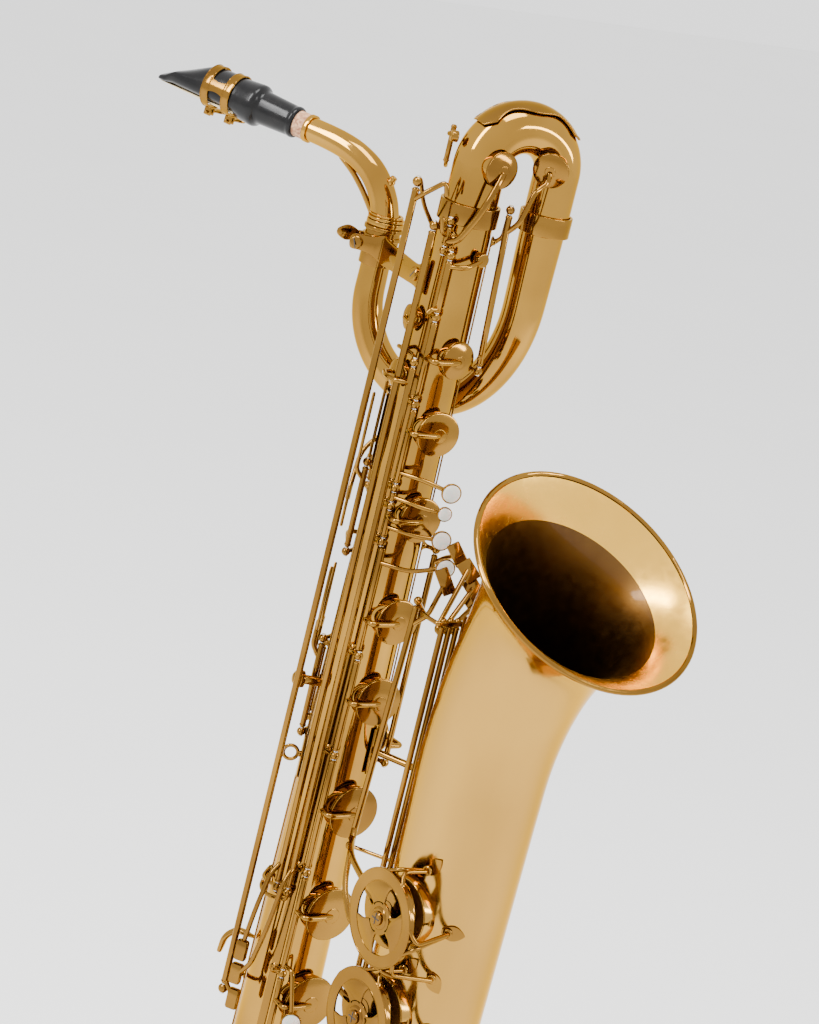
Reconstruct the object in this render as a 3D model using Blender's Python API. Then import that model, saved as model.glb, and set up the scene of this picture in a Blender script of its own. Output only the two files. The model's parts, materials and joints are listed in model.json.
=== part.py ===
"""Baritone saxophone, low A, modelled as an assembly of separate pieces.

Metres, +Z up.  The axis of the body tube is the Z axis, the bell stands on
the +X side of it, the lowest point of the bottom bow is at z = 0.  Azimuths
("phi") are measured in degrees from +X towards -Y, the player's right hand.
Keywork that lies along the body is laid out in a turned frame, K(u, v, z):
v points away from the body at azimuth 38.75 degrees, u runs across it.
"""
import bpy
import bmesh
import math
from mathutils import Vector, Matrix

# ----------------------------------------------------------------- dimensions
BODY_Z0, BODY_Z1 = 0.1780, 1.0170       # body tube, lower and upper end
BODY_R1 = 0.01945                       # its outer radius at the upper end
BODY_TAPER = 0.01494                    # radius gained per metre downwards
WALL = 0.0011                           # wall of the large tubes
BELL_X = 0.165                          # axis of the bell tube
BELL_BEND_Z = 0.6445                    # where the bell starts to lean out
BELL_LEAN = 35.67                       # tilt of the rim's plane, degrees
BELL_BEND_R = 0.304                     # radius of that bend
BELL_RIM_R = 0.0885
BOW_ZC = 0.1185                         # centre of the bottom bow's half circle
CROOK_ZC = 1.053                        # centre of the upper crook
CROOK_DIR = (0.0126, 0.0607)            # from the body axis to the crook's other leg
RECEIVER = (-0.091, -0.002)             # axis of the neck receiver
LOOP_TOP = 0.9600                       # top of the pigtail's left leg
NECK_DIR = (-0.907, -0.422)             # heading of the neck, level
KEY_TURN = 51.25                        # turn of the keywork frame, degrees
CHIM = 0.0032                           # height of a tone hole's chimney
CUP_H = 0.0048                          # height of a key cup
GAP = 0.0003                            # gap kept between touching pieces

# ------------------------------------------------------------------ clean file
for ob in list(bpy.data.objects):
    bpy.data.objects.remove(ob, do_unlink=True)
SCENE = bpy.context.scene
COLL = SCENE.collection


def material(name, color, rough, metal):
    m = bpy.data.materials.new(name)
    m.use_nodes = True
    b = m.node_tree.nodes["Principled BSDF"]
    b.inputs["Base Color"].default_value = (*color, 1)
    b.inputs["Roughness"].default_value = rough
    b.inputs["Metallic"].default_value = metal
    m.diffuse_color = (*color, 1)
    return m


MAT = {
    "lacquer": material("gold_lacquer", (0.78, 0.53, 0.22), 0.22, 1.0),
    "bell": material("bell_lacquer", (0.80, 0.56, 0.26), 0.28, 1.0),
    "steel": material("hinge_steel", (0.62, 0.60, 0.56), 0.30, 1.0),
    "ebonite": material("ebonite", (0.015, 0.015, 0.017), 0.25, 0.0),
    "cork": material("cork", (0.55, 0.36, 0.22), 0.9, 0.0),
    "cane": material("cane", (0.80, 0.66, 0.38), 0.6, 0.0),
}


# ------------------------------------------------------------------- geometry
def D(phi):
    a = math.radians(phi)
    return Vector((math.cos(a), -math.sin(a), 0.0))


def P(phi, r, z, cx=0.0):
    return D(phi) * r + Vector((cx, 0, z))


_ct, _st = math.cos(math.radians(KEY_TURN)), math.sin(math.radians(KEY_TURN))


def K(u, v, z):
    """Point of the keywork frame; u and v in millimetres, z in metres."""
    u, v = u / 1000.0, v / 1000.0
    return Vector((u * _ct + v * _st, u * _st - v * _ct, z))


def body_r(z):
    return BODY_R1 + (1.0185 - z) * BODY_TAPER


def frames(pts):
    """Tangents and turning-free normals along a polyline."""
    n = len(pts)
    tan = []
    for i in range(n):
        a = pts[max(i - 1, 0)]
        b = pts[min(i + 1, n - 1)]
        tan.append((b - a).normalized())
    ref = Vector((0, 0, 1)) if abs(tan[0].z) < 0.9 else Vector((1, 0, 0))
    nrm = [(ref - tan[0] * ref.dot(tan[0])).normalized()]
    for i in range(1, n):
        v = nrm[-1] - tan[i] * nrm[-1].dot(tan[i])
        nrm.append(v.normalized())
    return tan, nrm


def add(name, verts, faces):
    me = bpy.data.meshes.new(name)
    me.from_pydata([tuple(v) for v in verts], [], faces)
    me.update()
    bm = bmesh.new()
    bm.from_mesh(me)
    bmesh.ops.recalc_face_normals(bm, faces=bm.faces)
    bm.to_mesh(me)
    bm.free()
    ob = bpy.data.objects.new(name, me)
    COLL.objects.link(ob)
    return ob


def sweep(pts, radii, n=12, flat=1.0, up=None):
    """Solid swept along points; radius per point, optional flattening."""
    pts = [Vector(p) for p in pts]
    if isinstance(radii, (int, float)):
        radii = [radii] * len(pts)
    tan, nrm = frames(pts)
    vs, fs = [], []
    for i, p in enumerate(pts):
        a = nrm[i]
        if up is not None:
            a = (Vector(up) - tan[i] * Vector(up).dot(tan[i])).normalized()
        b = tan[i].cross(a)
        for k in range(n):
            t = 2 * math.pi * (k + 0.5) / n
            vs.append(p + a * (math.cos(t) * radii[i] * flat) + b * (math.sin(t) * radii[i]))
    for i in range(len(pts) - 1):
        for k in range(n):
            k2 = (k + 1) % n
            fs.append((i * n + k, i * n + k2, (i + 1) * n + k2, (i + 1) * n + k))
    fs.append(tuple(range(n))[::-1])
    fs.append(tuple((len(pts) - 1) * n + k for k in range(n)))
    return add("tmp_sweep", vs, fs)


def pipe(pts, radii, wall, n=16):
    """Hollow tube, open at both ends."""
    pts = [Vector(p) for p in pts]
    if isinstance(radii, (int, float)):
        radii = [radii] * len(pts)
    tan, nrm = frames(pts)
    vs, fs = [], []
    m = len(pts)
    for shell in (0, 1):
        for i, p in enumerate(pts):
            a, b = nrm[i], tan[i].cross(nrm[i])
            r = radii[i] - wall * shell
            for k in range(n):
                t = 2 * math.pi * (k + 0.5) / n
                vs.append(p + a * (math.cos(t) * r) + b * (math.sin(t) * r))
    o = m * n
    for i in range(m - 1):
        for k in range(n):
            k2 = (k + 1) % n
            fs.append((i * n + k, i * n + k2, (i + 1) * n + k2, (i + 1) * n + k))
            fs.append((o + i * n + k, o + (i + 1) * n + k, o + (i + 1) * n + k2, o + i * n + k2))
    for i in (0, m - 1):
        for k in range(n):
            k2 = (k + 1) % n
            fs.append((i * n + k, o + i * n + k, o + i * n + k2, i * n + k2))
    return add("tmp_pipe", vs, fs)


def turn(profile, origin, axis, n=14):
    """Body of revolution; profile is (radius, height) pairs, closed loop."""
    origin, w = Vector(origin), Vector(axis).normalized()
    ref = Vector((0, 0, 1)) if abs(w.z) < 0.9 else Vector((1, 0, 0))
    a = (ref - w * ref.dot(w)).normalized()
    b = w.cross(a)
    vs, fs, rings = [], [], []
    for r, h in profile:
        if r < 1e-7:
            rings.append([len(vs)])
            vs.append(origin + w * h)
        else:
            rings.append(list(range(len(vs), len(vs) + n)))
            for k in range(n):
                t = 2 * math.pi * (k + 0.5) / n
                vs.append(origin + w * h + a * (math.cos(t) * r) + b * (math.sin(t) * r))
    m = len(profile)
    closed = profile[0][0] > 1e-7
    for i in range(m if closed else m - 1):
        A, B = rings[i], rings[(i + 1) % m]
        for k in range(n):
            k2 = (k + 1) % n
            if len(A) == 1 and len(B) == 1:
                continue
            if len(A) == 1:
                fs.append((A[0], B[k], B[k2]))
            elif len(B) == 1:
                fs.append((A[k], B[0], A[k2]))
            else:
                fs.append((A[k], B[k], B[k2], A[k2]))
    return add("tmp_turn", vs, fs)


def disc(c, axis, r, h, n=12):
    return turn([(0, 0), (r, 0), (r, h), (0, h)], c, axis, n)


def ring(c, axis, ri, ro, h0, h1, n=16):
    ri = ri / math.cos(math.pi / n)      # the flats, not the corners, clear what is inside
    return turn([(ri, h0), (ro, h0), (ro, h1), (ri, h1)], c, axis, n)


def ball(c, r, axis=(0, 0, 1), n=6):
    prof = [(0, -r)] + [(r * 1.04 * math.cos(a), r * math.sin(a))
                        for a in (-0.45, 0.45)] + [(0, r)]
    return turn(prof, c, axis, n)


def bar(p0, p1, w, t, up):
    """Flat bar of width w and thickness t; 'up' is normal to its face."""
    p0, p1, up = Vector(p0), Vector(p1), Vector(up)
    d = (p1 - p0).normalized()
    u = (up - d * up.dot(d)).normalized()
    s = d.cross(u)
    vs = []
    for p in (p0, p1):
        for a, b in ((-1, -1), (1, -1), (1, 1), (-1, 1)):
            vs.append(p + s * (a * w / 2) + u * (b * t / 2))
    fs = [(3, 2, 1, 0), (4, 5, 6, 7)] + [(i, (i + 1) % 4, (i + 1) % 4 + 4, i + 4) for i in range(4)]
    return add("tmp_bar", vs, fs)


def plate(outline, origin, ex, ey, t):
    """Plate cut to a flat outline (metres, in ex / ey), thickness t each way / 2."""
    origin, ex, ey = Vector(origin), Vector(ex).normalized(), Vector(ey).normalized()
    nz = ex.cross(ey).normalized()
    n = len(outline)
    vs = [origin + ex * x + ey * y - nz * (t / 2) for x, y in outline]
    vs += [origin + ex * x + ey * y + nz * (t / 2) for x, y in outline]
    fs = [tuple(range(n))[::-1], tuple(range(n, 2 * n))]
    fs += [(i, (i + 1) % n, (i + 1) % n + n, i + n) for i in range(n)]
    return add("tmp_plate", vs, fs)


def solid(name, prims, mat, cuts=(), pivot=None, inter=None):
    """Union of the primitives less the cutters, applied to one closed mesh."""
    base = prims[0]
    base.name = name
    for i, p in enumerate(prims[1:]):
        m = base.modifiers.new("join%d" % i, "BOOLEAN")
        m.operation, m.solver, m.object = "UNION", "EXACT", p
    for i, p in enumerate(cuts):
        m = base.modifiers.new("cut%d" % i, "BOOLEAN")
        m.operation, m.solver, m.object = "DIFFERENCE", "EXACT", p
    if len(prims) + len(cuts) > 1:
        dg = bpy.context.evaluated_depsgraph_get()
        dg.update()
        me = bpy.data.meshes.new_from_object(base.evaluated_get(dg))
        base.modifiers.clear()
        base.data = me
        for p in list(prims[1:]) + list(cuts):
            bpy.data.objects.remove(p, do_unlink=True)
    bm = bmesh.new()
    bm.from_mesh(base.data)
    bmesh.ops.remove_doubles(bm, verts=bm.verts, dist=1e-6)
    bmesh.ops.dissolve_degenerate(bm, edges=bm.edges, dist=1e-6)
    bm.to_mesh(base.data)
    bm.free()
    base.data.name = name
    base.data.materials.clear()
    base.data.materials.append(MAT[mat])
    base.data.shade_smooth()
    base.data.set_sharp_from_angle(angle=math.radians(35))
    if pivot is not None:
        pv = Vector(pivot)
        base.data.transform(Matrix.Translation(-pv))
        base.location = pv
    return base


def smooth_path(ctrl, n):
    """Catmull-Rom curve through control points, n points in all."""
    c = [Vector(p) for p in ctrl]
    c = [c[0] * 2 - c[1]] + c + [c[-1] * 2 - c[-2]]
    out = []
    segs = len(c) - 3
    for i in range(n):
        t = i / (n - 1) * segs
        k = min(int(t), segs - 1)
        f = t - k
        p0, p1, p2, p3 = c[k:k + 4]
        out.append(0.5 * ((2 * p1) + (p2 - p0) * f + (2 * p0 - 5 * p1 + 4 * p2 - p3) * f * f
                          + (3 * p1 - p0 - 3 * p2 + p3) * f ** 3))
    return out


# ------------------------------------------------------------- bell and bows
def bell_axis(n_line=3, n_bend=7):
    pts = [Vector((BELL_X, 0, BODY_Z0 + (BELL_BEND_Z - BODY_Z0) * i / n_line)) for i in range(n_line)]
    for i in range(n_bend):
        a = math.radians(BELL_LEAN) * i / (n_bend - 1)
        pts.append(Vector((BELL_X + BELL_BEND_R * (1 - math.cos(a)), 0,
                           BELL_BEND_Z + BELL_BEND_R * math.sin(a))))
    return pts


def bell_radius(s_to_rim):
    """Outer radius at a distance below the rim, measured along the axis."""
    cone = 0.0462 - 0.0145 * max(s_to_rim - 0.19, 0)
    return cone + (BELL_RIM_R - 0.0462) * math.exp(-s_to_rim / 0.034) \
        + 0.0012 * math.exp(-((s_to_rim - 0.10) / 0.06) ** 2)


bp = bell_axis()
for frac in (0.965, 0.93):            # extra rings close to the rim
    a = math.radians(BELL_LEAN) * frac
    bp.insert(len(bp) - 1, Vector((BELL_X + BELL_BEND_R * (1 - math.cos(a)), 0,
                                   BELL_BEND_Z + BELL_BEND_R * math.sin(a))))
bp.sort(key=lambda p: p.z)
s = 0.0
dist = [0.0]
for i in range(len(bp) - 1, 0, -1):
    s += (bp[i] - bp[i - 1]).length
    dist.append(s)
dist.reverse()
bell_r = [bell_radius(d) for d in dist]
rim_c, rim_n = bp[-1], Vector((math.sin(math.radians(BELL_LEAN)), 0, math.cos(math.radians(BELL_LEAN))))


def bell_tube_r(z):
    return bell_radius(0.19 + (BELL_BEND_Z - z))


BELL_HOLES = (("B", 84, 0.548, 0.0255), ("Bb", 84, 0.470, 0.0262), ("A", 84, 0.345, 0.0275),
              ("Cs", 216, 0.270, 0.0245))
tube = pipe(bp, bell_r, WALL, 20)
rimring = turn([(BELL_RIM_R - 0.0022, -0.0024), (BELL_RIM_R + 0.0012, -0.0024),
                (BELL_RIM_R + 0.0026, -0.0010), (BELL_RIM_R + 0.0012, 0.0008),
                (BELL_RIM_R - 0.0016, 0.0008)], rim_c, rim_n, 20)
prims, cuts = [tube, rimring], []
for _, ph, z, r in BELL_HOLES:
    R = bell_tube_r(z)
    base = math.sqrt(R * R - r * r) - 0.0005
    prims.append(turn([(r - 0.0012, base), (r, base), (r, R + CHIM), (r - 0.0012, R + CHIM)],
                      (BELL_X, 0, z), D(ph), 12))
    cuts.append(disc(P(ph, base - 0.012, z, BELL_X), D(ph), r - 0.0006, 0.06, 12))
solid("bell", prims, "bell", cuts)

# bottom bow: half circle between the body tube and the bell tube
bw, br = [Vector((0, 0, BODY_Z0 - GAP))], [body_r(BODY_Z0)]
rb0, rb1 = body_r(BODY_Z0), bell_tube_r(BODY_Z0)
nb = 10
for i in range(nb + 1):
    a = math.pi * i / nb
    bw.append(Vector((BELL_X / 2 - math.cos(a) * BELL_X / 2, 0, BOW_ZC - math.sin(a) * BELL_X / 2)))
    br.append(rb0 + (rb1 - rb0) * (i + 1) / (nb + 2) - 0.0012 * math.sin(a))
bw.append(Vector((BELL_X, 0, BODY_Z0 - GAP)))
br.append(rb1)
BOW_HOLE = (35, 0.118, 0.0255)
bow = pipe(bw, br, WALL, 16)
solid("bottom_bow", [bow], "lacquer")

# sleeves over the bow's two joints
solid("bow_sleeve_body", [ring((0, 0, BODY_Z0), (0, 0, 1), rb0 + GAP + 0.0003, rb0 + 0.0030, -0.011, 0.011, 16)], "lacquer")
solid("bow_sleeve_bell", [ring((BELL_X, 0, BODY_Z0), (0, 0, 1), rb1 + GAP + 0.0003, rb1 + 0.0030, -0.011, 0.011, 16)], "lacquer")

# --------------------------------------------------------------- body tube
# tone holes on the body tube: name, azimuth, height, cup radius
HOLES = (
    ("c1", -3, 0.9138, 0.0142), ("c2", 4, 0.8583, 0.0168), ("c3", 0, 0.7925, 0.0172),
    ("c4", -1, 0.7125, 0.0176), ("c5", 0, 0.6490, 0.0185), ("c6", -2, 0.5598, 0.0205),
    ("c7", -3, 0.4760, 0.0212), ("c8", -2, 0.4018, 0.0218), ("c9", -2, 0.3200, 0.0225),
    ("c10", 77, 0.2620, 0.0225), ("c11", -5, 0.2150, 0.0240),
    ("s1", 215, 0.8300, 0.0110), ("s2", 215, 0.7940, 0.0118), ("s3", 215, 0.7560, 0.0125),
    ("s4", 106, 0.9350, 0.0095), ("s5", 106, 0.8930, 0.0100), ("g1", 270, 0.6100, 0.0150),
)
zs = [BODY_Z0 + (BODY_Z1 - BODY_Z0) * i / 4 for i in range(5)]
tube = sweep([(0, 0, z) for z in (zs[0], zs[-1])], [body_r(zs[0]), body_r(zs[-1])], 16)
inner = sweep([(0, 0, zs[0] - 0.01), (0, 0, zs[-1] + 0.01)],
              [body_r(zs[0] - 0.01) - WALL, body_r(zs[-1] + 0.01) - WALL], 16)
prims, cuts = [tube], []
for nm, ph, z, rc in HOLES:
    R, r = body_r(z), rc - 0.0018
    base = math.sqrt(max(R * R - r * r, 1e-6)) - 0.0015
    prims.append(disc(P(ph, base, z), D(ph), r, R + CHIM - base, 10))
    cuts.append(disc(P(ph, 0.002, z), D(ph), r - 0.0012, 0.06, 10))
solid("body_tube", prims, "lacquer", [inner] + cuts)

# ------------------------------------------------------ crook and pigtail
cd = Vector((CROOK_DIR[0], CROOK_DIR[1], 0))
cr = cd.length / 2
cu = cd.normalized()
cp = [Vector((0, 0, 1.0185 + 0.0006))]
crad = [0.01945]
for i in range(10):
    a = math.pi * i / 9
    cp.append(cu * (cr - math.cos(a) * cr) + Vector((0, 0, CROOK_ZC + math.sin(a) * cr)))
    crad.append(0.0194 - 0.0024 * i / 9)
cp.append(cd + Vector((0, 0, 1.0185 + 0.0006)))
crad.append(0.0169)
CHIM2 = 0.0042                          # chimneys of the two crook vents
va = math.radians(24)                   # the second vent sits this far round the bend
vt = Vector((-cu.x * math.sin(va), -cu.y * math.sin(va), math.cos(va)))
VC = cu * (cr + math.cos(va) * cr) + Vector((0, 0, CROOK_ZC + math.sin(va) * cr))
VN = (D(50) - vt * vt.dot(D(50))).normalized()
VENTS = ((Vector((0, 0, 1.056)), D(-1), 0.0112, 0.0193), (VC, VN, 0.0108, 0.0174))
cprims, ccuts = [pipe(cp, crad, WALL, 16)], []
for c, vn, r, R in VENTS:
    base = 0.0140
    cprims.append(turn([(r - 0.0012, base), (r, base), (r, R + CHIM2), (r - 0.0012, R + CHIM2)], c, vn, 10))
    ccuts.append(disc(c + vn * 0.006, vn, r - 0.0006, 0.03, 10))
solid("upper_crook", cprims, "lacquer", ccuts)
solid("crook_sleeve_body", [ring((0, 0, 1.0180), (0, 0, 1), 0.0201, 0.0222, -0.0075, 0.0075, 16)], "lacquer")
solid("crook_sleeve_loop", [ring(cd + Vector((0, 0, 1.0180)), (0, 0, 1), 0.01755, 0.0196, -0.0075, 0.0075, 16)], "lacquer")

rc = Vector((RECEIVER[0], RECEIVER[1], 0))
across = rc - cd
lp, lr = [], []
lp.append(cd + Vector((0, 0, 1.0170)))
W = across.length
for i in range(13):
    a = math.pi * i / 12
    x = (1 - math.cos(a)) / 2
    depth = 0.089 if x < 0.5 else 0.066
    top = 0.955 if x < 0.5 else 0.932
    z = top - depth * math.sin(a)
    if abs(x - 0.5) < 1e-6:
        z = 0.866
    lp.append(cd + across * x + Vector((0, 0, z)))
lp.append(rc + Vector((0, 0, LOOP_TOP)))
tot = sum((lp[i + 1] - lp[i]).length for i in range(len(lp) - 1))
s = 0.0
for i, p in enumerate(lp):
    if i:
        s += (p - lp[i - 1]).length
    lr.append(0.0166 - (0.0166 - 0.0108) * s / tot)
solid("pigtail", [pipe(lp, lr, 0.0009, 14)], "lacquer")


def P3(vec, z):
    return Vector((vec.x, vec.y, z))


nd = K(-0.35, -0.94, 0).normalized()     # the side where the clamp lugs stand
ns = Vector((nd.y, -nd.x, 0)).normalized()
nd.z = 0
# receiver: split socket with two collars and a pair of clamp lugs
RZ = 0.950
rec = [ring(P3(rc, RZ), (0, 0, 1), 0.01135, 0.0132, 0.0, 0.0295, 18),
       ring(P3(rc, RZ), (0, 0, 1), 0.0120, 0.0148, 0.0200, 0.0230, 18),
       ring(P3(rc, RZ), (0, 0, 1), 0.0120, 0.0148, 0.0265, 0.0295, 18)]
lug = nd * 0.0165
rec.append(bar(rc + lug - ns * 0.0045 + Vector((0, 0, RZ + 0.0165)), rc + lug - ns * 0.0010 + Vector((0, 0, RZ + 0.0165)), 0.009, 0.009, nd))
rec.append(bar(rc + lug + ns * 0.0010 + Vector((0, 0, RZ + 0.0165)), rc + lug + ns * 0.0045 + Vector((0, 0, RZ + 0.0165)), 0.009, 0.009, nd))
slot = bar(rc + nd * 0.008 + Vector((0, 0, RZ + 0.0165)), rc + nd * 0.024 + Vector((0, 0, RZ + 0.0165)), 0.0018, 0.030, (0, 0, 1))
scr_c = rc + nd * 0.0175 + Vector((0, 0, RZ + 0.0165))
hole = disc(scr_c - ns * 0.012, ns, 0.0019, 0.024, 8)
solid("neck_receiver", rec, "lacquer", [slot, hole])
# clamp screw with a leaf-shaped thumb head
ts = [sweep([scr_c - ns * 0.0115, scr_c + ns * 0.0075], 0.0015, 8),
      disc(scr_c - ns * 0.0125, ns, 0.0032, 0.0055, 10)]
leaf = [(-0.0018, 0), (-0.0052, 0.006), (-0.0058, 0.011), (-0.003, 0.0165), (0, 0.018), (0.003, 0.0165),
        (0.0058, 0.011), (0.0052, 0.006), (0.0018, 0)]
ts.append(plate(leaf, scr_c - ns * 0.0115, Vector((0, 0, 1)), -ns, 0.0024))
solid("neck_clamp_screw", ts, "lacquer", pivot=scr_c)

# ------------------------------------------------------------------ the neck
nd = Vector((NECK_DIR[0], NECK_DIR[1], 0)).normalized()
prof = [(0, 0), (2.2, 8), (5.4, 16.4), (12.1, 26.6), (21.7, 35.7), (34, 42.1), (47, 46.0), (62, 48.3), (81, 50)]
nctl = [rc + nd * (a / 1000) + Vector((0, 0, 0.981 + b / 1000)) for a, b in prof]
npth = [P3(rc, LOOP_TOP + 0.003)] + smooth_path(nctl, 14)
nrad = [0.0108] + [0.0108 - (0.0108 - 0.0092) * i / 13 for i in range(14)]
collar = disc(P3(rc, 0.9803), (0, 0, 1), 0.0140, 0.0035, 14)
end_n = (npth[-1] - npth[-2]).normalized()
endring = turn([(0, -0.0035), (0.0108, -0.0035), (0.0108, 0.0), (0, 0.0)], npth[-1], end_n, 14)
brace = sweep(smooth_path([npth[11] + Vector((0, 0, -0.0085)), npth[9] + Vector((0.001, 0, -0.0150)),
                           npth[6] + nd * 0.006 + Vector((0, 0, -0.0155)), npth[3] + nd * 0.0095 + Vector((0, 0, -0.006))], 5),
              0.0022, 6, 1.0)
neck = sweep(npth, nrad, 14)
solid("neck", [neck, collar, endring, brace], "lacquer",
      [sweep([npth[0] - Vector((0, 0, 0.004))] + npth[1:-1] + [npth[-1] + end_n * 0.004], [r - 0.0009 for r in nrad], 14)], pivot=P3(rc, 0.972))

# cork, mouthpiece, reed and ligature share the axis of the neck's end
ma = end_n
m0 = npth[-1] + ma * GAP
mu = (Vector((0, 0, 1)) - ma * ma.z).normalized()
ms = ma.cross(mu)
solid("neck_cork", [ring(m0, ma, 0.0078, 0.0100, 0.0, 0.0285, 14)], "cork")
ML0 = 0.0095                            # where the mouthpiece starts on the cork
mp_prof = [(0.0103, 0), (0.0120, 0), (0.0122, 0.0025), (0.0137, 0.032), (0.0151, 0.0355), (0.0153, 0.055),
           (0.0150, 0.080), (0.0128, 0.122), (0.0, 0.122), (0.0, 0.030), (0.0103, 0.022)]
mouth = turn(mp_prof, m0 + ma * ML0, ma, 16)
mt = m0 + ma * ML0
TIPL = 0.122
beak = plate([(0.081, 0.0146), (0.081, 0.030), (0.136, 0.030), (0.136, -0.010), (TIPL, -0.0085)], mt, ma, mu, 0.06)
table = plate([(0.051, -0.0105), (0.140, -0.0105), (0.140, -0.03), (0.051, -0.03)], mt, ma, mu, 0.06)
bore = turn([(0, -0.002), (0.0072, -0.002), (0.0072, 0.090), (0, 0.090)], mt, ma, 10)
window = plate([(0.088, -0.0150), (0.118, -0.0150), (0.118, -0.0098), (0.088, -0.001)], mt, ma, mu, 0.0125)
solid("mouthpiece", [mouth], "ebonite", [beak, table, bore, window], pivot=mt)
reed = plate([(0.053, -0.0108), (TIPL, -0.0108), (TIPL, -0.0113), (0.093, -0.0128), (0.053, -0.0131)], mt, ma, mu, 0.0150)
solid("reed", [reed], "cane")
LG0, LG1 = 0.0540, 0.0800
lring = [ring(mt, ma, 0.0156, 0.0168, LG0, LG0 + 0.007, 18), ring(mt, ma, 0.0156, 0.0168, LG1 - 0.007, LG1, 18)]
for sx in (-1, 1):
    lring.append(plate([(LG0 + 0.003, -0.003), (LG1 - 0.003, -0.003), (LG1 - 0.003, 0.003), (LG0 + 0.003, 0.003)],
                       mt + ms * (0.0162 * sx * 0.93) + mu * 0.0162 * 0.36, ma, mu * 0.93 - ms * sx * 0.36, 0.0010))
for q in (LG0 + 0.0035, LG1 - 0.0035):
    for sx in (-1, 1):
        lring.append(bar(mt + ma * q - mu * 0.0160 + ms * sx * 0.0020, mt + ma * q - mu * 0.0225 + ms * sx * 0.0020, 0.0062, 0.0018, ms))
lcut = [disc(mt + ma * q - mu * 0.0202 - ms * 0.01, ms, 0.0017, 0.02, 8) for q in (LG0 + 0.0035, LG1 - 0.0035)]
solid("ligature", lring, "lacquer", lcut)
for i, q in enumerate((LG0 + 0.0035, LG1 - 0.0035)):
    c = mt + ma * q - mu * 0.0202
    scw = [sweep([c - ms * 0.0055, c + ms * 0.0105], 0.0013, 8),
           plate([(-0.0015, 0), (-0.0048, 0.004), (-0.0050, 0.0075), (-0.0022, 0.0115), (0.0022, 0.0115),
                  (0.0050, 0.0075), (0.0048, 0.004), (0.0015, 0)], c + ms * 0.0085, ma, ms, 0.0022)]
    solid("ligature_screw_%d" % (i + 1), scw, "lacquer", pivot=c)

# ----------------------------------------------------------- keys and posts
JOINTS = []          # name, pivot, axis, range in degrees, spring or friction


class Key:
    """One hinged key: rod between two posts, arms, cups and touches."""

    def __init__(self, name, p0, p1, rr=0.0024):
        self.name, self.p0, self.p1 = name, Vector(p0), Vector(p1)
        self.rod_r = rr
        self.ax = (self.p1 - self.p0).normalized()
        self.prims = [sweep([self.p0, self.p1], rr, 6)]

    def on_rod(self, z):
        t = (z - self.p0.z) / (self.p1.z - self.p0.z)
        return self.p0 + (self.p1 - self.p0) * t

    def cup(self, ph, z, rc, R, cx=0.0, zr=None, raise_=0.0, arm=0.0022, via=None):
        zr = z if zr is None else zr
        c = P(ph, R + CHIM + GAP, z, cx)
        n = D(ph)
        self.prims.append(turn([(0, 0), (rc, 0), (rc, CUP_H * 0.62), (rc * 0.80, CUP_H), (0, CUP_H)], c, n, 12))
        a = self.on_rod(zr)
        b = c + n * (CUP_H + 0.0002)
        off = a - Vector((cx, 0, a.z))
        lift = max(R + CHIM + CUP_H + 0.0032 - off.dot(n), 0.0)
        side = (off - n * off.dot(n)).normalized()
        m = via[-1] if via else a + n * lift + side * min(lift * 0.1, 0.0012)
        pts = [a] + (list(via) if via else [m]) + [b + (m - b).normalized() * rc * 0.5 + n * 0.0010, b]
        self.prims.append(sweep(pts, [arm * 1.15] + [arm] * (len(pts) - 2) + [arm * 0.8], 5))
        return self

    def arm(self, pts, r=0.0018, n=5):
        self.prims.append(sweep(pts, r, n))
        return self

    def pearl(self, zr, c, n, r, via=None):
        a = self.on_rod(zr)
        c, n = Vector(c), Vector(n).normalized()
        self.prims.append(disc(c, n, r, 0.0030, 10))
        pts = [a] + ([via] if via is not None else []) + [c + n * 0.0012]
        self.prims.append(sweep(pts, 0.0017, 5))
        return self

    def add(self, prim):
        self.prims.append(prim)
        return self

    def done(self, sense, rng, spring=True, rest_open=0.0, mat="lacquer"):
        """sense +1 when a turn about +axis lifts the cup."""
        axis = self.ax * sense
        mid = (self.p0 + self.p1) / 2
        if rest_open:
            M = Matrix.Translation(mid) @ Matrix.Rotation(math.radians(rest_open), 4, axis) @ Matrix.Translation(-mid)
            for p in self.prims:
                p.data.transform(M)
        ob = solid(self.name, self.prims, mat, pivot=mid)
        JOINTS.append((self.name, mid, axis, rng, spring))
        return ob


def U(z):
    """Axis of the upper stack's rods."""
    return K(-5, 31, z)


def L(z):
    """Axis of the lower stack's rods."""
    return K(-2, 35, z)


def opening(key, r_lift, lift):
    return math.degrees(math.atan2(lift, r_lift))


hole = {h[0]: h for h in HOLES}


def body_cup(key, nm, zr=None, **kw):
    _, ph, z, r = hole[nm]
    return key.cup(ph, z, r, body_r(z), zr=zr, **kw)


E = 0.0034 + 0.0003          # a rod stops this far from the post's ball centre
PEARL_N = K(0.45, 1, 0) * 1000

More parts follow.
